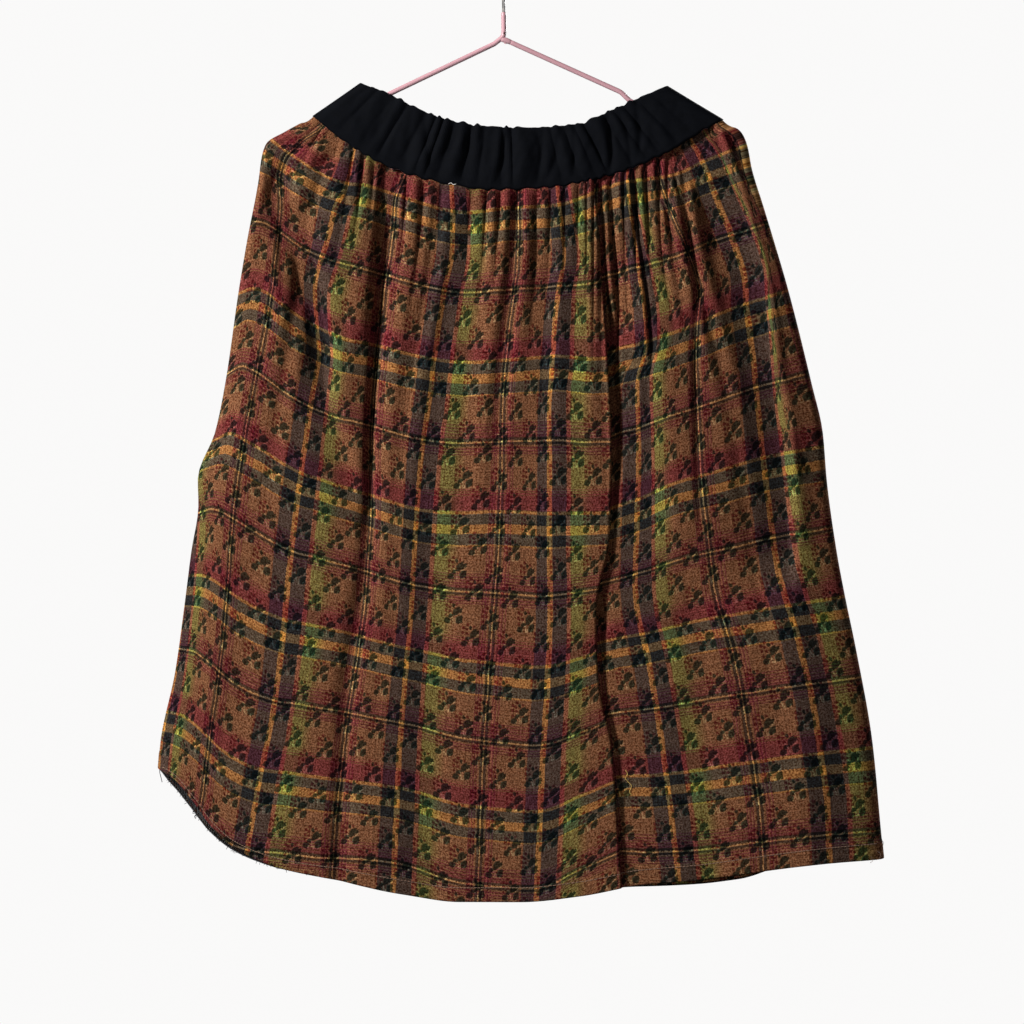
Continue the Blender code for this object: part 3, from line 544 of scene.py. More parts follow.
def smooth_path(table: Table, count: int) -> Array:
    """Points (x, z) in metres along a curve through a table's points in mm."""
    marks = np.array(table, float) * MM
    knots, fine = np.linspace(0.0, 1.0, len(marks)), np.linspace(0.0, 1.0, count)
    return np.stack([curve(fine, knots, marks[:, k]) for k in (0, 1)], axis=-1)


def side_path(v: float, table: Table) -> tuple[Array, Array]:
    """Place x and z in metres, a fraction v of the way down a side, by length."""
    points = np.array(table, float) * MM
    length = np.concatenate(([0.0], np.cumsum(np.hypot(*np.diff(points, axis=0).T))))
    share = length / length[-1]
    return curve(v, share, points[:, 0]), curve(v, share, points[:, 1])


def wave_phase(c: Array, count: float, seed: int) -> Array:
    """Phase of uneven waves across the cloth.

    It is count turns from c = 0 to 1, plus a few slow sines that crowd the waves
    here and spread them there.

    Args:
        c: places across the cloth.
        count: number of waves from seam to seam.
        seed: whole number that shifts the slow sines.

    Returns:
        The phase in radians at each place.
    """
    c = np.asarray(c, float)
    drift = 0.0
    for order, share in WAVE_DRIFT:
        start = TURN * seed * SEED_STEP * order
        drift = drift + share * (np.sin(TURN * order * c + start) - math.sin(start))
    return TURN * (count * c + drift)


def edge_rounding(c: Array, span: float) -> Array:
    """Closed quarter-round at both side seams, from 0 at the seam to 1 inside."""
    inside = np.clip(np.minimum(c, 1.0 - c) / span, 0.0, 1.0)
    return np.sqrt(np.clip(1.0 - (1.0 - inside) ** 2, 0.0, 1.0))


def body_rounding(c: Array) -> Array:
    """Broad swell from side to side: the root of 1 - |2c - 1| to the fourth."""
    return np.sqrt(np.clip(1.0 - np.abs(2.0 * c - 1.0) ** 4, 0.0, 1.0))


def side_fade(c: Array) -> Array:
    """Let folds die out before the side seams."""
    return smooth(np.minimum(c, 1.0 - c) / SIDE_FADE)


def left_calm(c: Array, least: float) -> Array:
    """Let gathers grow from a least share at the left side seam."""
    return least + (1.0 - least) * smooth((c - LEFT_CALM_FROM) / LEFT_CALM_SPAN)


def edge_columns(span: float) -> Array:
    """Columns round the closed edge at a left side seam, at even angles."""
    return span * (1.0 - np.cos(np.linspace(0.0, 0.5 * math.pi, EDGE_STEPS)))


def stand_off(c: Array, span: float, depth: Array | float, relief: Array, least: float,
              inside: float) -> Array:
    """Distance of cloth from the hanger's plane.

    It is half the gap between the two halves, the closed edge, the broad swell, and
    the relief, which fades towards the side seams.

    Args:
        c: places across the cloth.
        span: share of c that the closed edge takes.
        depth: height of the broad swell at its middle.
        relief: height of all the folds.
        least: least distance from the plane, away from the side seams.
        inside: share of the fade past which that holds.

    Returns:
        The distance at each place, in metres.
    """
    fade = side_fade(c)
    swell = EDGE_DEPTH * edge_rounding(c, span) + (depth - EDGE_DEPTH) * body_rounding(c)
    out = 0.5 * SIDE_GAP + swell + relief * fade
    return np.where(fade > inside, np.maximum(out, least), out)


def ripple(x: Array, z: Array, cell: float, seed: int) -> Array:
    """Smooth value noise between -1 and 1.

    Seeded random values stand on a square lattice, and each point eases between
    the four around it.

    Args:
        x: places across, in metres.
        z: places up, in metres.
        cell: lattice spacing in metres.
        seed: seed of the lattice.

    Returns:
        The noise at each point.
    """
    lattice = np.random.default_rng(seed).uniform(-1.0, 1.0, (LATTICE, LATTICE))
    u, w = x / cell, z / cell
    i, j = np.floor(u).astype(int), np.floor(w).astype(int)
    s, t = smooth(u - i), smooth(w - j)
    i0, i1, j0, j1 = (index % LATTICE for index in (i, i + 1, j, j + 1))
    low = lattice[i0, j0] * (1.0 - s) + lattice[i1, j0] * s
    high = lattice[i0, j1] * (1.0 - s) + lattice[i1, j1] * s
    return low * (1.0 - t) + high * t


def ripples(x: Array, z: Array, table: Table, seed: int) -> Array:
    """Sum of a table's noises, each leaning by its slant and drawn out upright."""
    return sum(height * MM * ripple(x + slant * z, squeeze * z, cell * MM, first + seed)
               for height, slant, squeeze, cell, first in table)


def wave_noise(phase: Array, cell: float, seed: int) -> Array:
    """Noise along a phase, with its lattice spacing in whole waves."""
    return ripple(phase / TURN, 0.0 * phase, cell, seed)


def sheet_normals(points: Array, seam_row: int) -> Array:
    """Unit normals of a grid of points.

    They are the cross product of the grid's two directions.  On the side seams
    they lie level, and on the waist seam square to the seam, so that the wall's
    edges there stay clear of the neighbouring piece.

    Args:
        points: grid of points, rows down and columns across.
        seam_row: the row that lies on the waist seam.

    Returns:
        A grid of unit vectors.
    """
    across = np.gradient(points, axis=1)
    down = np.gradient(points, axis=0)
    normal = np.cross(across, down)
    normal[:, (0, -1), 1] = 0.0
    seam_x, _, seam_z = across[seam_row].T
    aside = np.stack((-seam_z, np.zeros_like(seam_x), seam_x), axis=-1)
    aside /= np.linalg.norm(aside, axis=-1, keepdims=True)
    normal[seam_row] -= aside * np.sum(normal[seam_row] * aside, axis=-1, keepdims=True)
    return normal / np.linalg.norm(normal, axis=-1, keepdims=True)


def grid_quads(index: Array) -> Array:
    """Quads of a grid of vertex numbers, wound from its columns to its rows."""
    return np.stack((index[:-1, :-1], index[:-1, 1:], index[1:, 1:], index[1:, :-1]), axis=-1).reshape(-1, 4)


def stepped_quads(index: Array, split: int | None) -> Array:
    """Quads of a grid whose rows below split keep only every other column.

    Args:
        index: grid of vertex numbers.
        split: last row with all its columns, if the grid is stepped.

    Returns:
        The quads; those with two equal corners are triangles.
    """
    if split is None:
        return grid_quads(index)
    fine, coarse = index[:split + 1], index[split + 1:, ::2]
    left, middle, right = fine[-1, :-2:2], fine[-1, 1:-1:2], fine[-1, 2::2]
    low_left, low_right = coarse[0, :-1], coarse[0, 1:]
    strips = [np.stack(corners, axis=-1) for corners in
              ((left, middle, low_left, low_left), (middle, low_right, low_left, low_left),
               (middle, right, low_right, low_right))]
    return np.concatenate((grid_quads(fine), *strips, grid_quads(coarse)))


def build_object(name: str, points: Array, quads: Array, uv: Array | None = None) -> bpy.types.Object:
    """Put arrays into a smooth mesh object.

    Args:
        name: name of the object and of its mesh.
        points: vertex positions, one row each; those in no face are dropped.
        quads: four vertex numbers a face; equal neighbours make it a triangle.
        uv: a place in the pattern for each vertex, if the piece needs one.

    Returns:
        The new object, linked to the scene.
    """
    used, where = np.unique(quads, return_inverse=True)
    faces = [tuple(dict.fromkeys(face)) for face in where.reshape(quads.shape).tolist()]
    mesh = bpy.data.meshes.new(name)
    mesh.from_pydata(points.reshape(-1, 3)[used].tolist(), [], faces)
    if uv is not None:
        layer = mesh.uv_layers.new(name="UVMap")
        corner = np.zeros(len(mesh.loops), np.int32)
        mesh.loops.foreach_get("vertex_index", corner)
        layer.data.foreach_set("uv", uv.reshape(-1, 2)[used][corner].astype(np.float32).ravel())
    mesh.shade_smooth()
    mesh.update()
    piece = bpy.data.objects.new(name, mesh)
    bpy.context.collection.objects.link(piece)
    return piece


def rim_rows(edge: Array, normal: Array, away: Array, half: float, side: float) -> Array:
    """Rows that round a wall's edge, from one of its layers to its tip.

    Each is edge + half (side normal sin a + away cos a), for falling angles a.

    Args:
        edge: the sheet's end row.
        normal: unit normals there.
        away: unit directions out of the sheet there.
        half: half the wall's thickness.
        side: 1 or -1 for the layer along the normals or against them.

    Returns:
        The rows.
    """
    return np.stack([edge + half * (side * normal * math.sin(a) + away * math.cos(a)) for a in RIM_ANGLES])


def outward(points: Array, normal: Array, row: int, nearby: int) -> Array:
    """Unit directions that lead out of the sheet past one of its end rows."""
    away = points[row] - points[nearby]
    away = away - normal[row] * np.sum(away * normal[row], axis=-1, keepdims=True)
    return away / np.linalg.norm(away, axis=-1, keepdims=True)


def shell_object(name: str, points: Array, half: Array, seam_row: int, uv: Array,
                 split: int | None = None) -> bpy.types.Object:
    """Close a sheet into a thin shell, flat at its seam and round at its other end.

    The two layers are the sheet plus and minus half a wall along its normal.
    At the free end both run on over a half-round rim to the same tip.

    Args:
        name: name of the new object.
        points: grid of the sheet's middle surface.
        half: half the wall's thickness for each row.
        seam_row: row that lies on the waist seam, 0 or -1.
        uv: place in the pattern for each grid point.
        split: row below which only every other column is used, if any.

    Returns:
        The shell object.
    """
    normal = sheet_normals(points, seam_row)
    free = -1 if seam_row == 0 else 0
    away = outward(points, normal, free, -2 if free else 1)
    layers = []
    for side in (-1.0, 1.0):
        layer = points + side * normal * half[:, None, None]
        rim = rim_rows(points[free], normal[free], away, half[free], side)
        layers.append(np.concatenate((layer, rim)) if free else np.concatenate((rim[::-1], layer)))
    spare = np.repeat(uv[free][None], len(RIM_ANGLES), axis=0)
    pattern = np.concatenate((uv, spare) if free else (spare, uv))
    rows, cols = layers[0].shape[:2]
    outer = np.arange(rows * cols).reshape(rows, cols)
    inner = outer + rows * cols
    inner[free] = outer[free]
    seam = seam_row
    ends = np.stack((outer[seam, :-1], outer[seam, 1:], inner[seam, 1:], inner[seam, :-1]), axis=-1)
    left = np.stack((outer[:-1, 0], inner[:-1, 0], inner[1:, 0], outer[1:, 0]), axis=-1)
    right = np.stack((outer[:-1, -1], inner[:-1, -1], inner[1:, -1], outer[1:, -1]), axis=-1)
    quads = np.concatenate((stepped_quads(inner, split), stepped_quads(outer, split)[:, ::-1],
                            ends if seam == 0 else ends[:, ::-1], left, right[:, ::-1]))
    return build_object(name, np.concatenate(layers), quads, np.concatenate((pattern, pattern)))


def tube_object(name: str, paths: list[Array], radius: Any, sides: int) -> bpy.types.Object:
    """Carry a circle along each path and close it with rounded ends.

    Each ring is the path's point + radius (u cos a + w sin a), where u and w are
    square to the path and u is carried from ring to ring without twisting.  Two
    shrinking rings and a pole close each end.

    Args:
        name: name of the new object.
        paths: one array of points for each tube.
        radius: one radius, or an array of them along the path.
        sides: number of points round a ring.

    Returns:
        One object that holds all the tubes.
    """
    angle = np.linspace(0.0, TURN, sides, endpoint=False)
    points, quads, base = [], [], 0
    for path in paths:
        reach = np.broadcast_to(np.asarray(radius, float), len(path)).copy()
        along = np.gradient(path, axis=0)
        along /= np.linalg.norm(along, axis=-1, keepdims=True)
        start = path[0] - along[0] * reach[0] * CAP_STEP
        end = path[-1] + along[-1] * reach[-1] * CAP_STEP
        line = np.concatenate((start[None], path, end[None]))
        along = np.concatenate((along[:1], along, along[-1:]))
        reach = np.concatenate((reach[:1] * CAP_SHRINK, reach, reach[-1:] * CAP_SHRINK))
        side = np.cross(along[0], (0.0, 1.0, 0.0) if abs(along[0][1]) < 0.8 else (1.0, 0.0, 0.0))
        frames = []
        for heading in along:
            side = side - heading * np.dot(side, heading)
            side = side / np.linalg.norm(side)
            frames.append(side)
        side = np.array(frames)
        other = np.cross(along, side)
        ring = (line[:, None] + reach[:, None, None]
                * (side[:, None] * np.cos(angle)[:, None] + other[:, None] * np.sin(angle)[:, None]))
        poles = np.stack((start - along[0] * reach[0] * CAP_POLE, end + along[-1] * reach[-1] * CAP_POLE))
        count = len(line)
        index = base + np.arange(count * sides).reshape(count, sides)
        around = np.concatenate((index, index[:, :1]), axis=1)
        first, last = base + count * sides, base + count * sides + 1
        quads.append(grid_quads(around)[:, ::-1])
        for pole, loop, turned in ((first, around[0], False), (last, around[-1], True)):
            fan = np.stack((np.full(sides, pole), loop[1:], loop[:-1], loop[:-1]), axis=-1)
            quads.append(fan[:, ::-1] if turned else fan)
        points += [ring.reshape(-1, 3), poles]
        base += count * sides + 2
    return build_object(name, np.concatenate(points), np.concatenate(quads))


class Signal:
    """A number that varies over a surface; each operator and method on it adds one node."""

    def __init__(self, bench: "Bench", socket: bpy.types.NodeSocket) -> None:
        """Wrap an output socket of a bench's node tree."""
        self.bench = bench
        self.socket = socket

    def _math(self, operation: str, *others: Any) -> "Signal":
        """Math node on this value, and on another one where the operation takes two."""
        return self.bench.math(operation, self, *others)

    __add__ = __radd__ = partialmethod(_math, "ADD")
    __sub__ = partialmethod(_math, "SUBTRACT")
    __mul__ = __rmul__ = partialmethod(_math, "MULTIPLY")
    __pow__ = partialmethod(_math, "POWER")
    abs = partialmethod(_math, "ABSOLUTE")
    fract = partialmethod(_math, "FRACT")
    floor = partialmethod(_math, "FLOOR")
    sine = partialmethod(_math, "SINE")
    most = partialmethod(_math, "MAXIMUM")

    def __rsub__(self, other: Any) -> "Signal":
        """Difference from a plain number."""
        return self.bench.math("SUBTRACT", other, self)

    def ramp(self, low: float, high: float, least: float = 0.0, most: float = 1.0) -> "Signal":
        """Ease from least at low to most at high; low may be the larger."""
        sockets = {"Value": self, "From Min": low, "From Max": high, "To Min": least, "To Max": most}
        return self.bench.signal(self.bench.node("MapRange", {"interpolation_type": "SMOOTHSTEP"}, sockets))


def opaque(value: Any) -> Any:
    """A colour with its alpha of 1, or any other value as it is."""
    return (*value, 1.0) if isinstance(value, tuple) and len(value) == 3 else value


class Noise(Enum):
    """What a noise runs over: Blender's name for it, and the socket that takes a place in it."""

    LINE = ("1D", "W")
    PLANE = ("2D", "Vector")
    SPACE = ("3D", "Vector")


class Bench:
    """The node tree of one finish or of the world, with one method that makes any node."""

    def __init__(self, tree: bpy.types.NodeTree, shader: str) -> None:
        """Start on a tree's own shader node, of the given name."""
        self.tree = tree
        self.shader = tree.nodes[shader]

    def node(self, kind: str, settings: dict[str, Any] | None = None,
             sockets: dict[Any, Any] | None = None) -> bpy.types.Node:
        """Make a node.

        Args:
            kind: the node's type, without its ShaderNode prefix.
            settings: its properties, and "stops" for a ramp's places and colours.
            sockets: values or links of its inputs, by name or number.

        Returns:
            The new node.
        """
        made = self.tree.nodes.new("ShaderNode" + kind)
        for key, value in (settings or {}).items():
            if key == "stops":
                self._fill_ramp(made.color_ramp, value)
            else:
                setattr(made, key, value)
        for key, value in (sockets or {}).items():
            self.feed(made.inputs[key], value)
        return made

    @staticmethod
    def _fill_ramp(ramp: bpy.types.ColorRamp, stops: list[tuple[float, Colour]]) -> None:
        """Give a ramp hard-edged stops."""
        ramp.interpolation = "CONSTANT"
        while len(ramp.elements) < len(stops):
            ramp.elements.new(1.0)
        for element, (place, colour) in zip(ramp.elements, stops):
            element.position = place
            element.color = (*colour, 1.0)

    def feed(self, socket: bpy.types.NodeSocket, value: Any) -> None:
        """Link a signal or socket to an input, or set its value."""
        if isinstance(value, Signal):
            value = value.socket
        if isinstance(value, bpy.types.NodeSocket):
            self.tree.links.new(value, socket)
        else:
            socket.default_value = value

    def signal(self, node: bpy.types.Node, output: Any = 0) -> Signal:
        """Wrap one of a node's outputs."""
        return Signal(self, node.outputs[output])

    def math(self, operation: str, *values: Any) -> Signal:
        """Result of one Math node."""
        return self.signal(self.node("Math", {"operation": operation}, dict(enumerate(values))))

    def parts(self, place: Any) -> list[Signal]:
        """The three numbers of a vector."""
        return [Signal(self, output) for output in self.node("SeparateXYZ", None, {0: place}).outputs]

    def vector(self, across: Any, up: Any) -> bpy.types.NodeSocket:
        """Vector of two numbers and no third."""
        return self.node("CombineXYZ", None, {0: across, 1: up}).outputs[0]

    def uv(self) -> tuple[Signal, Signal, bpy.types.NodeSocket]:
        """The piece's own pattern coordinates, apart and together."""
        place = self.node("TexCoord").outputs["UV"]
        u, v, _ = self.parts(place)
        return u, v, place

    def object_place(self) -> bpy.types.NodeSocket:
        """Object coordinates, in metres."""
        return self.node("TexCoord").outputs["Object"]

    def noise(self, kind: Noise, place: Any, scale: float, detail: float = 2.0,
              roughness: float = 0.5) -> Signal:
        """Soft noise around 0.5.

        Args:
            kind: what it runs over.
            place: where it is read, as a vector, or as one signal for a line.
            scale: how many of its patches fit in a unit.
            detail: how many finer layers it has.
            roughness: how strong each finer layer is.

        Returns:
            The noise.
        """
        dimensions, socket = kind.value
        sockets = {socket: place, "Scale": scale, "Detail": detail, "Roughness": roughness}
        return self.signal(self.node("TexNoise", {"noise_dimensions": dimensions}, sockets))

    def grain(self, number: Signal) -> Signal:
        """Random value from 0 to 1 for each whole number."""
        return self.signal(self.node("TexWhiteNoise", {"noise_dimensions": "1D"}, {"W": number}), "Value")

    def tint(self, first: Any, second: Any, operation: str = "MULTIPLY") -> bpy.types.NodeSocket:
        """Product of two colours, or another Vector Math of two vectors."""
        return self.node("VectorMath", {"operation": operation}, {0: first, 1: second}).outputs[0]

    def scaled(self, colour: Any, factor: Any) -> bpy.types.NodeSocket:
        """Colour times a number."""
        return self.node("VectorMath", {"operation": "SCALE"}, {0: colour, "Scale": factor}).outputs[0]

    def mixed(self, factor: Any, first: Any, second: Any) -> bpy.types.NodeSocket:
        """Blend from the first colour to the second."""
        sockets = {0: factor, 6: opaque(first), 7: opaque(second)}
        return self.node("Mix", {"data_type": "RGBA"}, sockets).outputs[2]

    def bump(self, height: Signal, depth: float, strength: float) -> None:
        """Raise the surface by a height signal, depth metres for 1."""
        made = self.node("Bump", None, {"Strength": strength, "Distance": depth, "Height": height})
        self.feed(self.shader.inputs["Normal"], made.outputs[0])

    def surface(self, **values: Any) -> None:
        """Set or link the shader's sockets, named with _ for spaces."""
        for name, value in values.items():
            self.feed(self.shader.inputs[name.replace("_", " ")], opaque(value))


class Finish:
    """A material, which each finish paints in its own way."""

    name: str

    def paint(self, bench: Bench) -> None:
        """Lay the finish's nodes on a bench."""
        raise NotImplementedError

    def build(self) -> bpy.types.Material:
        """Make the material."""
        material = bpy.data.materials.new(self.name)
        material.use_nodes = True
        self.paint(Bench(material.node_tree, "Principled BSDF"))
        return material


class Dye(Enum):
    """Factors that a dyed stripe puts on the tan ground."""

    GROUND = (1.0, 1.0, 1.0)
    ORANGE = (1.44, 1.46, 0.98)
    YELLOW = (1.56, 1.80, 1.50)
    CHARCOAL = (0.48, 0.70, 1.10)
    SLATE = (0.57, 0.92, 1.25)
    RUST = (1.16, 0.98, 1.10)
    GREEN = (0.88, 1.62, 1.00)
    WINE = (0.84, 0.44, 0.80)
    PLUM = (0.82, 0.50, 0.86)
    DARK = (0.45, 0.56, 0.70)
    LEAF = (0.12, 0.23, 0.26)
    BERRY = (0.46, 0.17, 0.26)
    STEM = (1.80, 2.60, 2.60)


@dataclass(frozen=True)
class PlaidCloth(Finish):
    """Brushed plaid cloth with a small sprig repeat, in the piece's own UVs.

    u and v count repeats of the plaid.  Each thread system multiplies the tan
    ground by the dye of its stripe, so that crossings darken as woven ones do.
    """

    name: str = "plaid cloth"
    ground: Colour = (0.139, 0.0505, 0.0206)
    gain: float = 2.4
    threads: float = 190.0
    ribs: float = 59.0
    warp_start: float = 0.018
    weft_start: float = 0.031
    sprig_columns: float = 8.0
    sprig_rows: float = 3.25
    sprig_drift: float = 0.16
    stem_edge: tuple[float, float] = (0.85, 0.40)
    nap_shade: Colour = (0.34, 0.17, 0.07)
    nap_light: Colour = (1.72, 2.20, 2.70)
    wine_band: tuple[float, ...] = (0.665, 0.85, 0.868, 0.882)
    green_band: tuple[float, ...] = (0.150, 0.166, 0.205, 0.335)
    warp: tuple[tuple[float, Dye], ...] = (
        # start after the orange stripe's centre, dye
        (-0.018, Dye.ORANGE), (0.018, Dye.CHARCOAL), (0.124, Dye.RUST), (0.156, Dye.GROUND),
        (0.494, Dye.PLUM), (0.503, Dye.GROUND), (0.513, Dye.PLUM), (0.523, Dye.GROUND),
        (0.532, Dye.PLUM), (0.540, Dye.GROUND), (0.554, Dye.DARK), (0.573, Dye.YELLOW),
        (0.583, Dye.DARK), (0.601, Dye.GROUND), (0.617, Dye.PLUM), (0.626, Dye.RUST),
        (0.638, Dye.PLUM), (0.649, Dye.GROUND), (0.660, Dye.PLUM), (0.668, Dye.GROUND),
        (0.885, Dye.CHARCOAL), (0.982, Dye.ORANGE),
    )
    weft: tuple[tuple[float, Dye], ...] = (
        # start below the orange band's centre, dye
        (-0.031, Dye.ORANGE), (0.031, Dye.SLATE), (0.104, Dye.ORANGE), (0.114, Dye.GROUND),
        (0.300, Dye.PLUM), (0.308, Dye.GROUND), (0.318, Dye.PLUM), (0.329, Dye.GROUND),
        (0.338, Dye.PLUM), (0.350, Dye.GROUND), (0.358, Dye.PLUM), (0.372, Dye.GROUND),
        (0.379, Dye.PLUM), (0.397, Dye.DARK), (0.415, Dye.YELLOW), (0.427, Dye.DARK),
        (0.447, Dye.GROUND), (0.461, Dye.PLUM), (0.472, Dye.GROUND), (0.480, Dye.PLUM),
        (0.491, Dye.GROUND), (0.499, Dye.PLUM), (0.507, Dye.GROUND), (0.876, Dye.ORANGE),
        (0.896, Dye.SLATE), (0.967, Dye.ORANGE),
    )
    leaves: Table = (
        # across and up from the sprig's middle, half length, half width in mm, turn in degrees
        (2.6, 3.0, 5.6, 3.1, 62.0), (6.0, -4.2, 5.0, 3.4, 56.0), (-5.4, -6.6, 3.7, 3.0, 28.0),
        (-2.6, -2.0, 3.0, 2.0, 34.0), (6.6, 4.2, 2.8, 1.6, 62.0), (-0.6, 8.6, 2.4, 1.5, 100.0),
    )
    berries: Table = (
        # across and up from the sprig's middle, radius in mm
        (-7.2, 8.2, 1.7), (-3.6, 11.4, 1.6), (-7.6, 3.4, 1.7), (-3.4, 2.8, 1.5), (-4.2, 6.8, 1.4),
        (2.6, 9.6, 1.3), (-7.0, -1.4, 1.3),
    )
    stems: Table = (
        # across at the foot, bend, then foot and tip up from the sprig's middle, mm
        (1.9, 0.042, -9.4, 3.4), (5.6, 0.100, -9.4, -3.8), (0.6, -0.030, -9.4, 2.4),
        (-3.2, 0.050, -9.8, -5.0),
    )

    def _stripes(self, bench: Bench, place: Signal, start: float, order: Table) -> bpy.types.NodeSocket:
        """Colour factors of one thread system, divided by the gain."""
        stops = [(max(0.0, at + start), tuple(part / self.gain for part in dye.value)) for at, dye in order]
        return bench.node("ValToRGB", {"stops": stops}, {"Fac": (place + start).fract()}).outputs["Color"]

    def _sprig_place(self, bench: Bench, p: Signal, q: Signal) -> bpy.types.NodeSocket:
        """Millimetres across and up from the middle of the nearest sprig.

        Sprigs stand in upright columns of their own spacing, each moved a little at
        random, and every other column is moved by half that spacing too.

        Args:
            bench: the cloth's bench.
            p: place across the cloth, in repeats.
            q: place down the cloth, in repeats.

        Returns:
            The place, as a vector.
        """
        wide, tall = REPEAT / MM / self.sprig_columns, REPEAT / MM / self.sprig_rows
        place = p * self.sprig_columns
        column = place.floor()
        drift = bench.grain(column + 0.5) * self.sprig_drift
        down = (q * self.sprig_rows + (column * 0.5).fract() + drift).fract()
        return bench.vector((place.fract() - 0.5) * wide, (0.5 - down) * tall)

    def _spots(self, bench: Bench, place: Any, spots: Table, soft: float, pointed: bool = False) -> Signal:
        """Union of spots: inside where x x + y y < 1 in a spot's own axes, or x x + |y| < 1 if pointed.

        Args:
            bench: the cloth's bench.
            place: place from the sprig's middle, in millimetres.
            spots: middle, half length, and perhaps half width and turn of each spot.
            soft: half the width of a spot's soft edge, as a share of its size.
            pointed: whether the spots are pointed leaves.

        Returns:
            1 inside the spots and 0 outside.
        """
        total = None
        for across, up, length, *rest in spots:
            width, angle = rest or (length, 0.0)
            local = bench.node("Mapping", {"vector_type": "TEXTURE"},
                               {"Vector": place, "Location": (across, up, 0.0),
                                "Rotation": (0.0, 0.0, math.radians(angle)), "Scale": (length, width, 1.0)})
            along, beside, _ = bench.parts(local.outputs[0])
            size = along * along + (beside.abs() if pointed else beside * beside)
            inside = size.ramp(1.0 + soft, 1.0 - soft)
            total = inside if total is None else total.most(inside)
        return total

    def _stems(self, bench: Bench, place: Any) -> Signal:
        """Pale curved stems: bands about across = start + bend (up - foot) squared."""
        across, up, _ = bench.parts(place)
        total = None
        for start, bend, foot, tip in self.stems:
            rise = up - foot
            line = (across - (rise * rise * bend + start)).abs().ramp(*self.stem_edge)
            line = line * up.ramp(foot, foot + 1.0) * up.ramp(tip, tip - 1.5)
            total = line if total is None else total.most(line)
        return total

    def _checks(self, bench: Bench, p: Signal, q: Signal) -> bpy.types.NodeSocket:
        """Lay both thread systems over the ground, and darken their darkest crossings further.

        Args:
            bench: the cloth's bench.
            p: place across the cloth, in repeats.
            q: place down the cloth, in repeats.

        Returns:
            The colour.
        """
        colour = bench.tint(self._stripes(bench, p, self.warp_start, self.warp),
                            self._stripes(bench, q, self.weft_start, self.weft))
        share = bench.parts(colour)[0] * (self.gain * self.gain)
        depth = share ** 0.35 * share.ramp(0.24, 0.40, 0.48, 1.0)
        return bench.tint(bench.scaled(colour, depth * (self.gain * self.gain)), self.ground)

    def paint(self, bench: Bench) -> None:
        """Weave the checks, wash wine and green over them, brush the nap and lay the sprigs on it."""
        p, q, place = bench.uv()
        wander = (bench.noise(Noise.PLANE, place, 7.0, 1.0) - 0.5) * 0.010
        mottle = bench.noise(Noise.PLANE, place, 26.0, 2.0, 0.6)
        nap = bench.noise(Noise.PLANE, place, 84.0, 2.0, 0.75).ramp(0.27, 0.73)
        p_thread, q_thread = p * self.threads, q * self.threads
        thread = bench.grain(p_thread.floor()) + bench.grain(q_thread.floor() + 0.37)
        warp_run, weft_run = (bench.noise(Noise.LINE, along, 62.0) for along in (p, q))
        rib = (q * (self.ribs * TURN)).sine()
        blur = (nap - 0.5) * 0.006
        at_p = p + wander + blur
        at_q = q + wander * 0.8 + blur
        colour = self._checks(bench, at_p, at_q)

        start, full, fade, end = self.wine_band
        down = at_q.fract()
        wine = down.ramp(start, full) * down.ramp(end, fade)
        broken = bench.noise(Noise.LINE, q, 95.0, 3.0) * 0.9
        wine = (wine * 1.5 + rib * 0.34 - broken + 0.30).ramp(0.30, 0.72) * down.ramp(0.64, 0.70)
        colour = bench.mixed(wine, colour, bench.tint(colour, Dye.WINE.value))
        start, full, fade, end = self.green_band
        beside = at_p.fract()
        green = beside.ramp(start, full) * beside.ramp(end, fade) * (0.45 + warp_run * 1.2)
        colour = bench.mixed(green, colour, bench.tint(colour, Dye.GREEN.value))

        light = 0.42 + thread * 0.20 + (warp_run + weft_run) * 0.44 + rib * 0.08
        colour = bench.scaled(colour, light * (0.52 + mottle * 0.94))
        colour = bench.tint(colour, bench.mixed(nap, self.nap_shade, self.nap_light))

        ragged = (nap - 0.5) * 0.36
        sprig = bench.tint(self._sprig_place(bench, at_p, at_q), bench.vector(ragged, ragged), "ADD")
        for share, dye in ((self._spots(bench, sprig, self.berries, 0.30) * 0.92, Dye.BERRY),
                           (self._spots(bench, sprig, self.leaves, 0.14, True) * 0.96, Dye.LEAF),
                           (self._stems(bench, sprig) * 0.75, Dye.STEM)):
            colour = bench.mixed(share, colour, bench.tint(colour, dye.value))

        weave = (p_thread * TURN).sine() * (q_thread * TURN).sine()
        bench.bump(weave * 0.25 + nap * 0.7, 0.4 * MM, 0.6)
        bench.surface(Base_Color=colour, Roughness=0.88 + mottle * 0.12, Specular_IOR_Level=0.02,
                      Sheen_Weight=0.012, Sheen_Roughness=0.5, Sheen_Tint=(0.75, 0.55, 0.45))


@dataclass(frozen=True)
class BlackJersey(Finish):
    """Matt black knit over wide elastic."""

    name: str = "black jersey"
    ground: Colour = (0.0022, 0.0026, 0.0039)
    lint: Colour = (0.05, 0.05, 0.055)
    wales: float = 900.0

    def paint(self, bench: Bench) -> None:
        """Knit wales and courses; u and v are metres along and down the band."""
        u, v, place = bench.uv()
        mottle = bench.noise(Noise.PLANE, place, 160.0, 3.0, 0.6)
        fuzz = bench.noise(Noise.PLANE, place, 1100.0, 2.0, 0.7)
        wale = (u * self.wales * TURN).sine()
        course = (v * self.wales * 1.2 * TURN).sine()
        lint = fuzz.ramp(0.70, 0.80) * mottle.ramp(0.52, 0.62)
        colour = bench.scaled(self.ground, 0.6 + mottle * 0.8)
        colour = bench.mixed(lint * 0.25, colour, self.lint)
        bench.bump(wale * 0.3 + wale * course * 0.2 + fuzz * 0.6, 0.3 * MM, 0.5)
        bench.surface(Base_Color=colour, Roughness=0.70 + mottle * 0.15, Specular_IOR_Level=0.034)


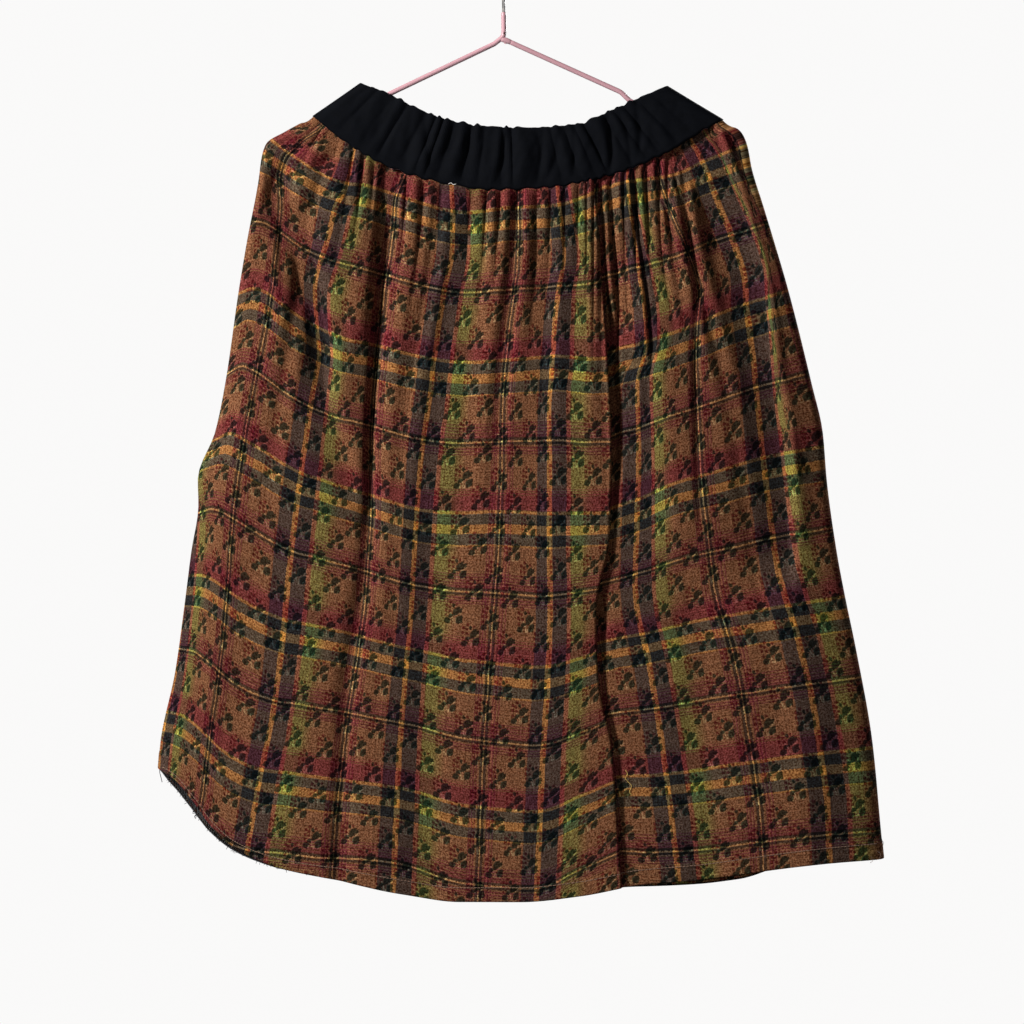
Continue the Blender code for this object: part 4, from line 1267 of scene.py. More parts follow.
@dataclass(frozen=True)
class PinkCoating(Finish):
    """Satin pink plastic dipped onto wire, with faint marks and one painted spot of shade at the neck."""

    name: str = "pink coating"
    ground: Colour = (0.47, 0.255, 0.29)
    rubbed: Colour = (0.50, 0.30, 0.32)
    # Painted shade: the place and colour of a dark spot that stands in for the shadow in a small gap at the
    # neck.
    neck_gap_shade: tuple[float, float, float] = (1.3 * MM, -2.2 * MM, -82.6 * MM)
    neck_gap_shade_colour: Colour = (0.06, 0.02, 0.02)

    def paint(self, bench: Bench) -> None:
        """Cloud the coat a little, rub it pale in specks, and paint one dark spot of shade where a small gap
        at the neck would be.
        """
        space = bench.object_place()
        cloud = bench.noise(Noise.SPACE, space, 45.0, 3.0)
        speck = bench.noise(Noise.SPACE, space, 420.0, 2.0, 0.6)
        rub = speck.ramp(0.63, 0.75) * cloud.ramp(0.45, 0.65)
        colour = bench.scaled(self.ground, 0.88 + cloud * 0.24)
        colour = bench.mixed(rub * 0.5, colour, self.rubbed)
        # Painted shade: darken a small round spot on the stem's front, where a gap at the neck lies in
        # shadow.
        away = bench.node("VectorMath", {"operation": "DISTANCE"}, {0: space, 1: self.neck_gap_shade})
        in_neck_gap_shade = bench.signal(away, "Value").ramp(1.3 * MM, 0.8 * MM)
        colour = bench.mixed(in_neck_gap_shade, colour, self.neck_gap_shade_colour)
        bench.bump(cloud * 0.6 + speck * 0.15, 0.25 * MM, 0.3)
        bench.surface(Base_Color=colour, Roughness=0.30 + cloud * 0.18, Coat_Weight=0.15)


@dataclass(frozen=True)
class BareSteel(Finish):
    """Plain drawn wire with fine specks and dull patches."""

    name: str = "bare steel"
    ground: Colour = (0.43, 0.42, 0.41)
    dull: Colour = (0.20, 0.16, 0.13)

    def paint(self, bench: Bench) -> None:
        """Tarnish the wire in patches."""
        space = bench.object_place()
        cloud = bench.noise(Noise.SPACE, space, 70.0, 4.0, 0.6)
        speck = bench.noise(Noise.SPACE, space, 900.0, 2.0, 0.6)
        tarnish = cloud.ramp(0.52, 0.70)
        colour = bench.scaled(self.ground, 0.85 + cloud * 0.3)
        colour = bench.mixed(tarnish * 0.5, colour, self.dull)
        bench.bump(speck * 0.5 + cloud * 0.5, 0.1 * MM, 0.5)
        bench.surface(Base_Color=colour, Metallic=1.0 - tarnish * 0.4, Roughness=0.28 + tarnish * 0.3)


@dataclass(frozen=True)
class SewingThread(Finish):
    """Twisted sewing thread of one colour."""

    name: str
    ground: Colour

    def paint(self, bench: Bench) -> None:
        """Shade the plies."""
        ply = bench.noise(Noise.SPACE, bench.object_place(), 1600.0, 2.0, 0.6)
        bench.bump(ply, 0.1 * MM, 0.5)
        bench.surface(Base_Color=bench.scaled(self.ground, 0.6 + ply * 0.8), Roughness=0.75 + ply * 0.15,
                      Sheen_Weight=0.1)


@dataclass(frozen=True)
class StudioPaper(Finish):
    """Plain pale backdrop paper."""

    name: str = "studio paper"
    ground: Colour = (0.78, 0.78, 0.79)
    glow: float = 0.62

    def paint(self, bench: Bench) -> None:
        """Cloud the paper slightly and let it glow."""
        cloud = bench.noise(Noise.SPACE, bench.object_place(), 0.6, 2.0)
        bench.surface(Base_Color=bench.scaled(self.ground, 0.98 + cloud * 0.04), Roughness=0.9,
                      Specular_IOR_Level=0.1, Emission_Color=self.ground, Emission_Strength=self.glow)


@dataclass
class Panel:
    """One straight panel of plaid cloth, gathered at the waist and hemmed."""

    side: Side
    gathers: int
    seed: int
    stations: Table
    depths: Table
    folds: Table
    creases: Table
    hem_line: Table
    columns: int = 266
    waist_rows: int = 46
    body_rows: int = 52
    hem_rows: int = 5
    grid: Array = field(default_factory=lambda: np.zeros((0, 3)))

    @property
    def front(self) -> bool:
        """Whether this is the front panel, which has the deep fold."""
        return self.side is Side.FRONT

    @property
    def name(self) -> str:
        """Name of the CAD node that this panel stands for."""
        return "skirt_front" if self.front else "skirt_back"

    @property
    def hem_start(self) -> float:
        """Height v at which the turned hem begins."""
        return 1.0 - HEM_DEPTH / PANEL_LENGTH

    def fold_shape(self, v: float) -> tuple[float, float]:
        """Front edge and overlap of the deep fold at height v, both in c."""
        return float(table_curve(v, DEEP_FOLD, 1.0)), float(table_curve(v, DEEP_FOLD, 1.0, 2))

    @staticmethod
    def fold_marks(edge: float, overlap: float) -> list[float]:
        """Where each of the deep fold's two turns starts and ends, in c."""
        half = 0.5 * FOLD_TURN / PANEL_WIDTH
        return [FOLD_FROM, edge - half, edge + half, edge + overlap - half, edge + overlap + half, FOLD_TO]

    def cloth_columns(self) -> Array:
        """Columns across the cloth, closer at its side edges and through the deep fold.

        A midpoint stands between each two of them, for the gathers alone.
        """
        left = edge_columns(EDGE_SPAN)
        body = np.linspace(1.5 * EDGE_SPAN, 1.0 - 1.5 * EDGE_SPAN, self.columns)
        if self.front:
            marks = self.fold_marks(*HOME_FOLD)
            body = body[(body < marks[1]) | (body > marks[4])]
            steps = [np.linspace(marks[k], marks[k + 1], count) for k, count in ((1, 8), (2, 6), (3, 8))]
            body = np.concatenate((body, *steps))
        coarse = np.unique(np.round(np.concatenate((left, body, 1.0 - left)), 9))
        return np.sort(np.concatenate((coarse, 0.5 * (coarse[:-1] + coarse[1:]))))

    def cloth_rows(self) -> Array:
        """Rows down the cloth, closer at the gathers and at the hem."""
        waist = WAIST_ROWS_END * np.linspace(0.0, 1.0, self.waist_rows, endpoint=False) ** 1.5
        above = self.hem_start - HEM_MARGIN
        body = np.linspace(WAIST_ROWS_END, above, self.body_rows, endpoint=False)
        hem = np.concatenate((np.linspace(0.0, 0.3, 4, endpoint=False), np.linspace(0.3, 1.0, self.hem_rows)))
        return np.concatenate((waist, body, above + hem * (1.0 - above)))

    def follow_fold(self, c: Array, v: float) -> Array:
        """Move columns sideways so that they keep to the deep fold's two turns."""
        moved = np.interp(c, self.fold_marks(*HOME_FOLD), self.fold_marks(*self.fold_shape(v)))
        return np.where((c > FOLD_FROM) & (c < FOLD_TO), moved, c)

    def level_x(self, c: Array, v: float) -> Array:
        """x of a row before the deep fold: a curve through the marked threads and both sides.

        Args:
            c: places across the cloth.
            v: height down the cloth.

        Returns:
            x at each place, in metres.
        """
        marks = [row[1] for row in self.stations]
        places = [float(curve(v, STATION_HEIGHTS, row[2:])) * MM for row in self.stations]
        left_x, right_x = (float(side_path(v, table)[0]) for table in (LEFT_SIDE, RIGHT_SIDE))
        return curve(c, [0.0, *marks, 1.0], [left_x, *places, right_x])

    def folded_x(self, c: Array, v: float) -> tuple[Array, Array]:
        """Lay a row with the deep fold in it.

        The cloth turns by half a turn at the fold's front edge and back again one
        overlap further on.  Its run is the sum of the cosine of that turn, and its
        set-back the sum of the sine.  Beside the fold it rises and sinks gently,
        and under its front edge lies a dark hollow, a bell curve across.

        Args:
            c: places across the cloth.
            v: height down the cloth.

        Returns:
            x of each point, and how far it stands forwards of the plain swell.
        """
        row_x = self.level_x(c, v)
        if not self.front:
            return row_x, np.zeros_like(c)
        edge, overlap = self.fold_shape(v)
        turn_span = FOLD_TURN / PANEL_WIDTH
        fine = np.linspace(FOLD_FROM, FOLD_TO, FOLD_STEPS)
        angle = math.pi * (smooth((fine - edge) / turn_span + 0.5)
                           - smooth((fine - edge - overlap) / turn_span + 0.5))
        run = np.concatenate(([0.0], np.cumsum(np.cos(angle[:-1]))))
        back = np.concatenate(([0.0], np.cumsum(np.sin(angle[:-1])))) * (fine[1] - fine[0]) * PANEL_WIDTH
        share = run / run[-1]
        start, end = self.level_x(np.array((FOLD_FROM, FOLD_TO)), v)
        inside = (c > FOLD_FROM) & (c < FOLD_TO)
        new_x = np.where(inside, start + (end - start) * np.interp(c, fine, share), row_x)
        rise_end = edge - overlap - turn_span
        sink_start = edge + 2.0 * overlap + turn_span
        rise = smooth((c - FOLD_RISE_FROM) / (rise_end - FOLD_RISE_FROM))
        sink = smooth((c - sink_start) / (FOLD_RISE_TO - sink_start))
        forwards = 0.5 * back[-1] * (rise + sink) - np.interp(c, fine, back)
        edge_x = start + (end - start) * np.interp(edge, fine, share)
        depth, away, width = (table_curve(v, FOLD_HOLLOW, MM, k) for k in (1, 2, 3))
        under = smooth((c - edge) / turn_span + 0.3)
        return new_x, forwards - depth * bell((new_x - edge_x - away) / width) * under

    @staticmethod
    def fold_heights(x: Array, z: Array, table: Table, fade: float) -> Array:
        """Sum of a table's ridges and troughs: bell curves across about paths in x and z.

        Args:
            x: places across, in metres.
            z: places up, in metres.
            table: the folds.
            fade: length past each end of a path over which its fold dies out.

        Returns:
            The height at each point, in metres.
        """
        total = np.zeros_like(x)
        for _, top_height, low_height, left, right, path in table:
            points = np.array(path, float)[::-1] * MM
            top, low = points[-1, 1], points[0, 1]
            share = np.clip((top - z) / (top - low), 0.0, 1.0)
            height = (top_height + (low_height - top_height) * share) * MM
            ends = smooth((z - low) / fade + 1.0) * smooth((top - z) / fade + 1.0)
            total += height * fold_profile(x - curve(z, points[:, 1], points[:, 0]), left, right) * ends
        return total

    def gather_heights(self, c: Array, v: float) -> Array:
        """Fine gathers at the seam, each of its own length, that merge into broader ones.

        Each is the cosine of the uneven phase less a narrow bell in its valley.

        Args:
            c: places across the cloth.
            v: height down the cloth.

        Returns:
            The height at each place, in metres.
        """
        phase = wave_phase(c, self.gathers, self.seed)
        swing = np.sin(TURN * (3.0 * c + 0.21 * self.seed))
        uneven = 0.85 + 0.5 * wave_noise(phase, 1.3, 50 + self.seed)
        uneven = uneven * (1.0 - GATHER_UNEVENNESS * (1.0 - swing))
        uneven = uneven * (1.0 - CALM_SHARE * bell((c - CALM_AT) / CALM_WIDTH))
        uneven = uneven * left_calm(c, LEFT_CALM_LEAST)
        uneven = uneven * (1.0 - RIGHT_CALM_SHARE * smooth((c - RIGHT_CALM_FROM) / RIGHT_CALM_SPAN))
        down = np.clip(v / (1.0 + GATHER_REACH * wave_noise(phase, 1.0, 40 + self.seed)), 0.0, 1.0)
        valley = table_curve(down, GATHER_VALLEYS) * bell((np.mod(phase, TURN) - math.pi) / VALLEY_WIDTH)
        small = table_curve(down, FINE_GATHERS) * np.cos(phase) - valley
        broad_phase = wave_phase(c, self.gathers * BROAD_SHARE, self.seed + 2) + BROAD_START
        return small * uneven + table_curve(v, BROAD_GATHERS) * np.cos(broad_phase)

    def seam_height(self, x: Array) -> Array:
        """Height of the waist seam at x: the plain seam, raised at each gather's head."""
        c = np.linspace(0.0, 1.0, SEAM_STEPS)
        place = np.interp(x, self.level_x(c, 0.0), c)
        phase = wave_phase(place, self.gathers, self.seed)
        strength = 1.0 + 0.6 * wave_noise(phase, 1.0, 90 + self.seed)
        head = HEAD_RISE * strength * (0.5 * np.cos(phase) + 0.15) * side_fade(place)
        drop = 0.0 if self.front else SEAM_BACK_DROP * body_rounding(place)
        return line_curve(x, WAIST_SEAM) + head * left_calm(place, LEFT_HEAD_LEAST) - drop

    def row_heights(self, c: Array, v: float) -> Array:
        """z of a row: part way from the seam to the hem, drawn to the outline beside both sides."""
        seam_x = self.folded_x(c, 0.0)[0]
        seam_z = line_curve(seam_x, WAIST_SEAM)
        hem_z = line_curve(self.folded_x(c, 1.0)[0], self.hem_line)
        z = (1.0 - v) * (seam_z - 0.5 * SEAM_GAP) + v * hem_z
        for table, end, near in ((LEFT_SIDE, 0, c), (RIGHT_SIDE, -1, 1.0 - c)):
            pull = np.clip(1.0 - near / SIDE_PULL, 0.0, 1.0) ** 2 * min(1.0, v / SEAM_EASE)
            z = z + (side_path(v, table)[1] - z[end]) * pull
        return z + (self.seam_height(seam_x) - seam_z) * (1.0 - smooth(v / HEAD_FADE))

    def surface(self, c_row: Array, v_rows: Array) -> tuple[Array, Array]:
        """Middle surface of the panel.

        x follows the marked threads, z runs from the seam to the hem, and the
        distance from the hanger's plane is the broad swell plus all the relief.

        Args:
            c_row: columns across the cloth, with both side seams.
            v_rows: rows down the cloth.

        Returns:
            The grid of points, and the grid of the columns' c in each row.
        """
        rows, cloth = [], []
        for v in v_rows:
            c = self.follow_fold(c_row, v) if self.front else c_row
            x, forwards = self.folded_x(c, v)
            z = self.row_heights(c, v)
            place = np.interp(x, self.level_x(c, v), c)
            relief = self.fold_heights(x, z, self.folds, FOLD_FADE) + forwards
            relief = relief + self.fold_heights(x, z, self.creases, CREASE_FADE) * smooth(v / SEAM_EASE)
            relief = relief + self.gather_heights(place, v)
            relief = relief + ripples(x, z, PANEL_RIPPLES, self.seed) * smooth(v / RIPPLE_EASE)
            span = EDGE_SPAN_WAIST + (EDGE_SPAN - EDGE_SPAN_WAIST) * smooth(v / EDGE_EASE)
            least = BAR_CLEARANCE if v < BAR_REACH else LEAST_HOLLOW
            out = stand_off(place, span, table_curve(v, self.depths), relief, least, PANEL_INSIDE)
            rows.append(np.stack((x, self.side.value * out, z), axis=-1))
            cloth.append(c)
        return np.array(rows), np.array(cloth)

    def pattern(self, cloth: Array, v_rows: Array) -> Array:
        """Place of each grid point in the woven pattern, in repeats across and down.

        Args:
            cloth: grid of the columns' c in each row.
            v_rows: rows down the cloth.

        Returns:
            The grid of places.  The back's are even, and the front's follow its
            tables of bands and threads, before the first and past the last band too.
        """
        down = v_rows[:, None] + np.zeros_like(cloth)
        if not self.front:
            parts = (cloth * PANEL_WIDTH / REPEAT, down * PANEL_LENGTH / REPEAT)
            return np.stack(parts, axis=-1) + BACK_PATTERN
        marks = [table_curve(cloth, WEFT_BANDS, 1.0, k) for k in range(1, len(WEFT_BANDS[0]))]
        weft = np.zeros_like(cloth)
        for k in range(len(marks) - 1):
            low = -RUN_ON if k == 0 else 0.0
            high = RUN_ON if k == len(marks) - 2 else 1.0
            weft += np.clip((down - marks[k]) / (marks[k + 1] - marks[k]), low, high)
        repeats = [line[0] for line in WARP_MARKS]
        warp = [curve(row, [curve(v, WARP_HEIGHTS, line[1:]) for line in WARP_MARKS], repeats)
                for row, v in zip(cloth, v_rows)]
        return np.stack((np.array(warp), weft), axis=-1)

    def half_wall(self, v_rows: Array) -> Array:
        """Half the wall's thickness for each row, thicker in the turned hem."""
        step = smooth((v_rows - self.hem_start) / HEM_STEP + 0.5)
        return 0.5 * (CLOTH_WALL + (HEM_WALL - CLOTH_WALL) * step)

    def build(self, cloth: bpy.types.Material) -> bpy.types.Object:
        """Build the panel's shell and dress it.

        Args:
            cloth: the plaid material.

        Returns:
            The panel's cloth.
        """
        columns, rows = self.cloth_columns(), self.cloth_rows()
        points, across = self.surface(columns, rows)
        self.grid = points
        uv = self.pattern(across, rows)
        piece = shell_object(self.name + "_cloth", points, self.half_wall(rows), 0, uv, self.waist_rows)
        return dress(piece, cloth, self.name)


@dataclass
class Waistband:
    """One half of the elastic waistband, from its top edge to the waist seam."""

    panel: Panel
    seed: int
    columns: int = 340
    rows: int = 24

    @property
    def name(self) -> str:
        """Name of the CAD node that this half stands for."""
        return "waistband_front" if self.panel.front else "waistband_back"

    def crease_heights(self, c: Array, v: float, width: float) -> Array:
        """Sum of the creases' bells across a row; the back's creases mirror the front's.

        Args:
            c: places across the band.
            v: height down the band.
            width: width of the band, in metres.

        Returns:
            The height at each place, in metres.
        """
        total = np.zeros_like(c)
        for height, left, right, path in BAND_CREASES:
            marks = np.array(path)
            at = marks[:, 0] if self.panel.front else 1.0 - marks[:, 0]
            total += height * MM * fold_profile((c - curve(v, marks[:, 1], at)) * width, left, right)
        return total

    def surface(self, c: Array, v_rows: Array) -> Array:
        """Middle surface: straight lines from the top edge to the seam, bulged and puckered.

        Puckers are cosines of an uneven phase with a narrow bell that drifts down
        the band, plus the creases of the table, and noise drawn out upright.

        Args:
            c: columns across the band, with both side seams.
            v_rows: rows down the band.

        Returns:
            The grid of points.
        """
        depth_top = BAND_DEPTH_TOP - (0.0 if self.panel.front else BAND_BACK_INSET)
        top_drop = 0.0 if self.panel.front else BAND_BACK_DROP
        seam_depth = self.panel.depths[0][1] * MM
        top_x, low_x = (table[0][0] * MM + (table[-1][0] - table[0][0]) * MM * c
                        for table in (BAND_TOP, WAIST_SEAM))
        calm = 1.0 - smooth(np.minimum(c, 1.0 - c) / BAND_SMOOTH_ENDS)
        loose = 1.0 - BAND_SMOOTH_SHARE * calm
        phase = wave_phase(c, BAND_PUCKERS, self.seed)
        broad_phase = wave_phase(c, BAND_BROAD_WAVES, self.seed + 1)
        strength = 0.75 + 0.75 * wave_noise(phase, 1.0, 70 + self.seed)
        notches = loose * strength * (0.9 * np.cos(phase) + 0.5 * np.cos(2.0 * phase + 1.0)) * MM
        top_z = line_curve(top_x, BAND_TOP) - top_drop * body_rounding(c)
        low_z = self.panel.seam_height(low_x) + 0.5 * SEAM_GAP
        rows = []
        for v in v_rows:
            x = top_x + (low_x - top_x) * v
            z = top_z + notches * (1.0 - v) ** 3 + (low_z - top_z) * v
            free = math.sin(math.pi * v) ** 0.7 if 0.0 < v < 1.0 else 0.0
            depth = depth_top + (seam_depth - depth_top) * v + BAND_BULGE * math.sin(math.pi * v)
            sharp = bell((np.mod(phase + 0.9 * v, TURN) - math.pi) / PUCKER_WIDTH)
            wave = strength * (np.cos(phase) - 1.5 * free * sharp)
            pucker = BAND_PUCKER * (0.5 + 0.5 * math.cos(0.5 * math.pi * v) ** 2) * wave
            broad = BAND_BROAD * free * np.cos(broad_phase + 2.4 * v)
            soft = free * ripples(x, z, BAND_RIPPLES, self.seed)
            crease = self.crease_heights(c, v, low_x[-1] - low_x[0]) * (0.25 + 0.75 * free)
            relief = loose * (pucker + broad) + (0.4 + 0.6 * loose) * soft + crease
            relief = relief * (1.0 - 0.75 * smooth((v - 1.0 + SEAM_STRIP) / SEAM_STRIP))
            out = stand_off(c, EDGE_SPAN_BAND, depth, relief, BAR_CLEARANCE, BAND_INSIDE)
            rows.append(np.stack((x, self.panel.side.value * out, z), axis=-1))
        return np.array(rows)

    def build(self, jersey: bpy.types.Material) -> bpy.types.Object:
        """Build the casing's shell and dress it.

        Args:
            jersey: the black knit material.

        Returns:
            The casing of one half of the waistband.
        """
        left = edge_columns(EDGE_SPAN_BAND)
        body = np.linspace(1.4 * EDGE_SPAN_BAND, 1.0 - 1.4 * EDGE_SPAN_BAND, self.columns)
        c = np.concatenate((left, body, 1.0 - left[::-1]))
        v = np.linspace(0.0, 1.0, self.rows)
        points = self.surface(c, v)
        along = c * (BAND_TOP[-1][0] - BAND_TOP[0][0]) * BAND_RELAXED * MM
        uv = np.stack(np.broadcast_arrays(along[None, :], v[:, None] * BAND_HEIGHT), axis=-1)
        half = np.full(len(v), 0.5 * BAND_WALL)
        piece = shell_object(self.name + "_casing", points, half, -1, uv)
        return dress(piece, jersey, self.name)


@dataclass
class Sewing:
    """Stitches along one panel's hem, its overlocked edge and loose thread ends."""

    panel: Panel
    sides: int = 5

    def near_hem(self, c: Array, above: Array, lift: Array) -> Array:
        """Points beside the cloth, close to its hem.

        The panel's surface is read on a few level rows, and each point lies between
        two of them, moved along the cloth's normal.

        Args:
            c: columns across the cloth, with both side seams.
            above: height of each point above the hem's edge, in metres.
            lift: how far each point stands outside the cloth's middle.

        Returns:
            One point a column.
        """
        levels = np.linspace(20.0 * MM, 0.0, 11)
        grid, _ = self.panel.surface(c, 1.0 - levels / PANEL_LENGTH)
        normal = sheet_normals(grid, 0)
        place = np.clip((levels[0] - above) / (levels[0] - levels[1]), 0.0, len(levels) - 1.001)
        row = place.astype(int)
        share = (place - row)[:, None]
        cols = np.arange(len(c))
        points, away = (part[row, cols] * (1.0 - share) + part[row + 1, cols] * share
                        for part in (grid, normal))
        return points + away * (self.panel.side.value * np.asarray(lift))[:, None]

    def stitches(self) -> list[Array]:
        """Short threads in a row above the hem's edge, each bowed off the cloth."""
        starts = np.arange(6.0 * MM, PANEL_WIDTH - 8.0 * MM, STITCH_PITCH)
        nodes = starts[:, None] + STITCH_LENGTH * np.array((0.0, 0.5, 1.0))
        c = np.concatenate(([0.0], nodes.ravel() / PANEL_WIDTH, [1.0]))
        bow = np.concatenate(([0.0], np.tile((-0.05, 0.22, -0.05), len(starts)), [0.0])) * MM
        line = self.near_hem(c, table_curve(c, STITCH_HEIGHT), 0.5 * HEM_WALL + bow)
        return list(line[1:-1].reshape(-1, 3, 3))

    def overlock(self) -> list[Array]:
        """Zigzag over the inner side of the back hem's edge, and a cord along it."""
        count = int(PANEL_WIDTH * OVERLOCK_END / OVERLOCK_PITCH)
        c = np.concatenate((np.linspace(0.0, OVERLOCK_END, count), [1.0]))
        uneven = 0.75 + 0.4 * np.random.default_rng(8).random(len(c))
        above = np.where(np.arange(len(c)) % 2 == 0, 0.0, OVERLOCK_DEPTH) * uneven
        zigzag = self.near_hem(c, above, np.full(len(c), -0.5 * HEM_WALL - 0.3 * MM))
        cord = self.near_hem(c, np.zeros(len(c)), np.full(len(c), -0.3 * MM))
        cord[:, 2] -= 0.8 * MM
        return [zigzag[1:-1], cord[1:-1:3]]

    def hairs(self) -> list[Array]:
        """Short bent fibres that stick out of the overlocked edge, at seeded random places."""
        rng = np.random.default_rng(21)
        c = np.concatenate(([0.0], np.sort(rng.uniform(0.01, OVERLOCK_END - 0.03, HAIRS)), [1.0]))
        foot = self.near_hem(c, np.zeros(len(c)), np.zeros(len(c)))[1:-1]
        angle = rng.uniform(-2.9, -1.5, HAIRS)
        reach = rng.uniform(1.0, 4.2, HAIRS) * MM
        bend = rng.uniform(-0.7, 0.7, HAIRS)
        heading = [np.stack((np.cos(angle + turn * bend), 0.2 * bend, np.sin(angle + turn * bend)), axis=-1)
                   * reach[:, None] * 0.5 for turn in (0.0, 1.0)]
        return [np.stack((start, start + first, start + first + second))
                for start, first, second in zip(foot, *heading)]

    def loose_end(self, path: Table) -> Array:
        """Thread along (x, z) points, resting on the outermost cloth near each of them.

        Args:
            path: the points, in mm.

        Returns:
            The thread's path.
        """
        x, z = smooth_path(path, 4 * len(path)).T
        cloth = self.panel.grid.reshape(-1, 3)
        gap = np.hypot(cloth[:, 0] - x[:, None], cloth[:, 2] - z[:, None])
        near = gap < gap.min(axis=1, keepdims=True) + 2.0 * MM
        depth = np.where(near, self.panel.side.value * cloth[:, 1], -1.0).max(axis=1)
        depth = np.convolve(np.pad(depth, 2, mode="edge"), np.full(5, 0.2), mode="valid")
        return np.stack((x, self.panel.side.value * (depth + CLOTH_WALL), z), axis=-1)

    def build(self, threads: dict[str, bpy.types.Material]) -> list[bpy.types.Object]:
        """Build the stitches and loose ends, and for the back panel the overlocked edge too.

        Args:
            threads: thread materials by name.

        Returns:
            The new pieces.
        """
        work = [("hem_stitches", self.stitches(), 0.36 * MM, "tan")]
        if not self.panel.front:
            zigzag, cord = self.overlock()
            work += [("overlock_zigzag", [zigzag], 0.60 * MM, "black"),
                     ("overlock_cord", [cord], 0.95 * MM, "black"),
                     ("overlock_hairs", self.hairs(), 0.22 * MM, "black")]
        work += [(name, [self.loose_end(path) for path in paths], THREAD_RADIUS * share, tone)
                 for name, paths, share, tone in (FRONT_ENDS if self.panel.front else BACK_ENDS)]
        return [dress(tube_object(f"{self.panel.name}_{name}", paths, radius, self.sides), threads[tone]) for name, paths, radius, tone in work]


@dataclass
class Hanger:
    """The coated wire triangle and its bare hook."""

    sides: int = 20

    @staticmethod
    def arm_height(x: Array) -> Array:
        """Height of an arm's middle at x: a straight slope with a cosine strap notch."""
        x = np.abs(np.asarray(x, float))
        notch = np.clip((x - NOTCH_AT) / (0.5 * NOTCH_SPAN), -1.0, 1.0)
        return NECK_Z - ARM_SLOPE * x - NOTCH_DROP * 0.5 * (1.0 + np.cos(math.pi * notch))

    @staticmethod
    def arc(centre: tuple[float, float], radius: float, start: float, end: float, steps: int) -> Array:
        """Points (x, z) of an arc between two angles in degrees."""
        angle = np.radians(np.linspace(start, end, steps))
        return np.stack((centre[0] + radius * np.cos(angle), centre[1] + radius * np.sin(angle)), axis=-1)

    def frame_path(self) -> Array:
        """Centreline (x, z): down the stem, out the left arm, along the bar, up the right arm."""
        notch = np.linspace(NOTCH_AT - 0.5 * NOTCH_SPAN, NOTCH_AT + 0.5 * NOTCH_SPAN, 15)
        before, after = (np.array(marks) * MM for marks in ARM_MARKS)
        arm_x = np.concatenate((before, notch, after))
        arm = np.stack((arm_x, self.arm_height(arm_x)), axis=-1)
        slope = math.degrees(math.atan(ARM_SLOPE))
        end_x = HANGER_HALF - WIRE_RADIUS - END_RADIUS
        end_z = NECK_Z - ARM_SLOPE * end_x - END_RADIUS / math.cos(math.radians(slope))
        bend = self.arc((end_x, end_z), END_RADIUS, 90.0 - slope, -90.0, 17)
        half = np.concatenate((arm, bend))
        tip_x = WIRE_RADIUS * 2.0 + NECK_GAP
        tip = np.array([[tip_x, float(self.arm_height(tip_x))]])
        return np.concatenate((smooth_path(STEM_PATH, 13), half * (-1.0, 1.0), half[::-1], tip))

    def hook_path(self) -> Array:
        """Centreline (x, z) of the bare hook, from the stem up over the crown."""
        reach = HOOK_INSIDE + HOOK_RADIUS
        ring = self.arc((0.0, -HOOK_INSIDE), reach, *HOOK_SWEEP, 49)
        foot = np.array((0.0, STEM_PATH[0][1] * MM + JOINT_GAP))
        knee = np.array((0.0, HOOK_KNEE_Z))
        slant = math.radians(HOOK_HEADING)
        before = knee + (0.0, HOOK_BEND_PULL)
        after = ring[0] - np.array((math.cos(slant), math.sin(slant))) * HOOK_BEND_PULL
        span = np.linspace(0.0, 1.0, 13)[1:-1, None]
        rest = 1.0 - span
        bend = (knee * rest ** 3 + 3.0 * before * rest ** 2 * span + 3.0 * after * rest * span ** 2
                + ring[0] * span ** 3)
        return np.concatenate((foot[None], knee[None], bend, ring))

    @staticmethod
    def hung(path: Array) -> Array:
        """Turn a flat path about the crown by the slight angle at which the hanger hangs."""
        lean, upright = math.sin(HANG_TILT), math.cos(HANG_TILT)
        x, z = path[:, 0], path[:, 1]
        return np.stack((x * upright - z * lean, np.zeros_like(x), x * lean + z * upright), axis=-1)

    def build(self, coating: bpy.types.Material, steel: bpy.types.Material) -> list[bpy.types.Object]:
        """Build the triangle and the hook and dress them.

        Args:
            coating: the pink coating.
            steel: the bare wire.

        Returns:
            The two wires and the coated weld and drop that join them.
        """
        weld, drop = (np.array(table) * MM for table in (NECK_WELD, WELD_DROP))
        work = (
            ("hanger_frame_coated", self.frame_path(), WIRE_RADIUS, coating, "pink_coating", "hanger_frame"),
            ("hanger_hook_wire", self.hook_path(), HOOK_RADIUS, steel, "bare_steel", "hanger_hook"),
            ("hanger_neck_weld", weld[:, :2], weld[:, 2], coating, "pink_coating", None),
            ("hanger_neck_drop", drop[:, :2], drop[:, 2], coating, "pink_coating", None),
        )
        return [dress(tube_object(name, [self.hung(path)], radius, self.sides), finish, node)
                for name, path, radius, finish, slot, node in work]


def dress(piece: bpy.types.Object, material: bpy.types.Material,
          node: str | None = None) -> bpy.types.Object:
    """Give a piece its material, slot and body, and let it stand for a node.

    Args:
        piece: the new object.
        material: its finish.
        node: the CAD node that it replaces, if any.

    Returns:
        The same object.
    """
    piece.data.materials.append(material)
    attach(piece, BODY)
    if node:
        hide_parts(node)
    log.info("%s: %d faces", piece.name, len(piece.data.polygons))
    return piece


